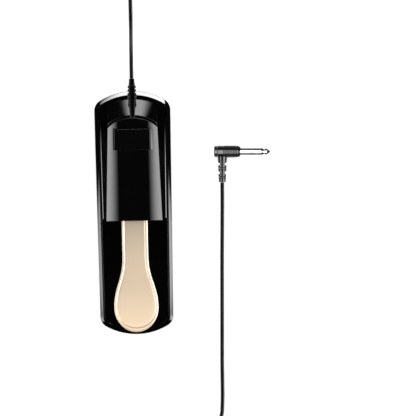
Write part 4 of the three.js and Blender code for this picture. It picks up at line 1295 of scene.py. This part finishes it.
# ---- Floor and light -----------------------------------------------------------------------
# A plain white sweep, and soft boxes. Gloss black shows only what it mirrors, so each moulding
# has its own boxes, as flags and cards would give it on a studio table.
def flat_sheet(name, low, high, level):
    """A flat rectangle from its low to its high (x, y) corner, in metres."""
    mesh = bpy.data.meshes.new(name)
    corners = ((low[0], low[1]), (high[0], low[1]), (high[0], high[1]), (low[0], high[1]))
    mesh.from_pydata([(x, y, level) for x, y in corners], [], [(0, 1, 2, 3)])
    return mesh


FLOOR_REACH = 9
floor_mesh = flat_sheet("floor", (-FLOOR_REACH, -FLOOR_REACH), (FLOOR_REACH, FLOOR_REACH), 0)
paper, _, paper_shader, _ = finish("floor_white_paper", "#F4F4F4", 0.9)
paper_shader.inputs["Specular IOR Level"].default_value = 0.1
paper_shader.inputs["Emission Color"].default_value = linear("#FFFFFF")
paper_shader.inputs["Emission Strength"].default_value = 0.55
floor_mesh.materials.append(paper)
floor = bpy.data.objects.new("floor", floor_mesh)
scene.collection.objects.link(floor)

# The sky is white to the camera and nearly dark to everything else.
world = bpy.data.worlds.new("studio")
scene.world = world
world.use_nodes = True
sky = world.node_tree.nodes["Background"]
rays = add_node(world.node_tree, "ShaderNodeLightPath")
shown = add_node(world.node_tree, "ShaderNodeMapRange", {"To Min": 0.02, "To Max": 0.96},
                 {"Value": rays.outputs["Is Camera Ray"]})
world.node_tree.links.new(shown.outputs[0], sky.inputs["Strength"])
sky.inputs["Color"].default_value = (1, 1, 1, 1)
scene.view_settings.view_transform = "Standard"


def soft_box(name, aim, azimuth, elevation, distance, size, glow, lit, fades=(0, 0, 0, 0), tint="#FFFFFF"):
    """A soft box that only lights the named pieces. azimuth turns from the cord end towards +X, and glow is
    its radiance. fades are the shares of its face that fade out at its two ends, its foot and its head."""
    data = bpy.data.lights.new(name, "AREA")
    data.shape = "RECTANGLE"
    data.size, data.size_y = size
    data.energy = math.pi * size[0] * size[1]
    data.color = linear(tint)[:3]
    data.use_nodes = True
    tree = data.node_tree
    place = add_node(tree, "ShaderNodeNewGeometry").outputs["Parametric"]
    axes = add_node(tree, "ShaderNodeSeparateXYZ", links={0: place})
    level = add_node(tree, "ShaderNodeValue").outputs[0]
    level.default_value = glow
    for k, fade in enumerate(fades):
        if fade:
            ends = (0, fade) if k % 2 == 0 else (1, 1 - fade)
            side = add_node(tree, "ShaderNodeMapRange", {
                "interpolation_type": "SMOOTHSTEP", "From Min": ends[0], "From Max": ends[1]},
                {"Value": axes.outputs[k // 2]})
            level = add_node(tree, "ShaderNodeMath", {"operation": "MULTIPLY"},
                             {0: level, 1: side.outputs[0]}).outputs[0]
    tree.links.new(level, tree.nodes["Emission"].inputs["Strength"])
    lamp = bpy.data.objects.new(name, data)
    scene.collection.objects.link(lamp)
    turn, rise = math.radians(azimuth), math.radians(elevation)
    away = Vector((math.cos(rise) * math.sin(turn), math.cos(rise) * math.cos(turn), math.sin(rise)))
    lamp.location = Vector(aim) + away * distance
    lamp.rotation_euler = away.to_track_quat("Z", "Y").to_euler()
    lamp.visible_camera = False
    group = bpy.data.collections.new(name + "_lights")
    for piece in lit:
        group.objects.link(scene.objects[piece])
    lamp.light_linking.receiver_collection = group
    return lamp


# A dark card on the floor under the plug's shaft, seen only in its reflections.
card_mesh = flat_sheet("dark_card", (0.107, 0.0), (0.21, 0.12), 0.1 * MM)
card_mesh.materials.append(finish("card_matt_black", "#020202", 1.0)[0])
card = bpy.data.objects.new("dark_card", card_mesh)
scene.collection.objects.link(card)
card.visible_camera = card.visible_diffuse = card.visible_shadow = card.visible_transmission = False

case, cover, top_deck = ["case_shell"], ["cover_shell", "label_panel"], ["cover_deck"]
lever = ["lever_pressing"]
cable, boot, sleeve = ["cord"], ["rear_strain_relief"], ["plug_strain_relief"]
plug = ["plug_body", "plug_end_cap", "plug_shaft", "plug_ring", "plug_point"]
inside = ["spring_coil"] + [frame["nodes"][name].name for names in works.values() for name in names]
soft_box("ceiling", (0, 0, 0), 0, 89.9, 2.4, (5, 5), 1.5, ["floor", "hank_strap", "grip_mat"] + inside)
soft_box("case_rear", (0, 0.1, 0.04), 0, 30, 1.0, (1.3, 1.1), 24, case, (0, 0.45, 0, 0))
soft_box("case_left", (-0.03, -0.405, 0.02), -90, 24, 0.8, (0.49, 0.75), 7, case, (0.29, 0.2, 0, 0.15))
soft_box("case_right", (0.03, -0.405, 0.02), 90, 24, 0.8, (0.49, 0.75), 9.5, case, (0.3, 0.29, 0, 0.15))
soft_box("deck_left", (0, -0.09, 0.04), -90, 72, 0.5, (0.38, 0.16), 9, top_deck, (0.45, 0, 0, 0))
soft_box("deck_right", (0, -0.09, 0.04), 90, 72, 0.5, (0.38, 0.16), 13, top_deck, (0, 0.7, 0, 0))
soft_box("cover_left", (0, 0.05, 0.05), -90, 45, 1.2, (1.6, 2.2), 7.8, cover, (0, 0, 0, 0.75))
soft_box("cover_right", (0, 0.05, 0.05), 90, 45, 1.2, (1.6, 2.2), 7.8, cover, (0, 0, 0, 0.7))
soft_box("cover_rear", (0, 0.1, 0.045), 4, 47, 1.0, (0.46, 0.25), 8, cover, (0.35, 0.35, 0, 0))
soft_box("lever_key", (0, -0.16, 0.04), 180, 89.9, 0.08, (0.5, 0.32), 0.72, lever, (0, 0, 0, 0.5), "#FFF4E8")
soft_box("lever_fill", (0, -0.05, 0.04), 180, 80, 0.9, (1.6, 1.4), 0.58, lever, tint="#EAF2FF")
soft_box("lever_left", (0, -0.06, 0.04), -90, 22, 0.8, (0.8, 0.3), 3, lever, tint="#E6F0FF")
soft_box("lever_right", (0, -0.06, 0.04), 90, 28, 0.8, (0.8, 0.45), 8, lever, tint="#E0ECFF")
soft_box("plug_key", (0.1, 0.06, 0.006), 180, 80, 0.5, (0.9, 0.7), 8, plug)
soft_box("relief_left", (0.09, 0.04, 0.006), -90, 40, 0.6, (0.6, 0.35), 11, sleeve)
soft_box("relief_right", (0.09, 0.04, 0.006), 90, 42, 0.6, (0.6, 0.45), 10, sleeve)
soft_box("cord_right", (0.09, -0.05, 0.0), 90, 24, 0.8, (1.6, 0.28), 7, cable)
soft_box("cord_left", (0.09, -0.05, 0.0), -90, 34, 0.8, (1.6, 0.2), 0.8, cable + boot)
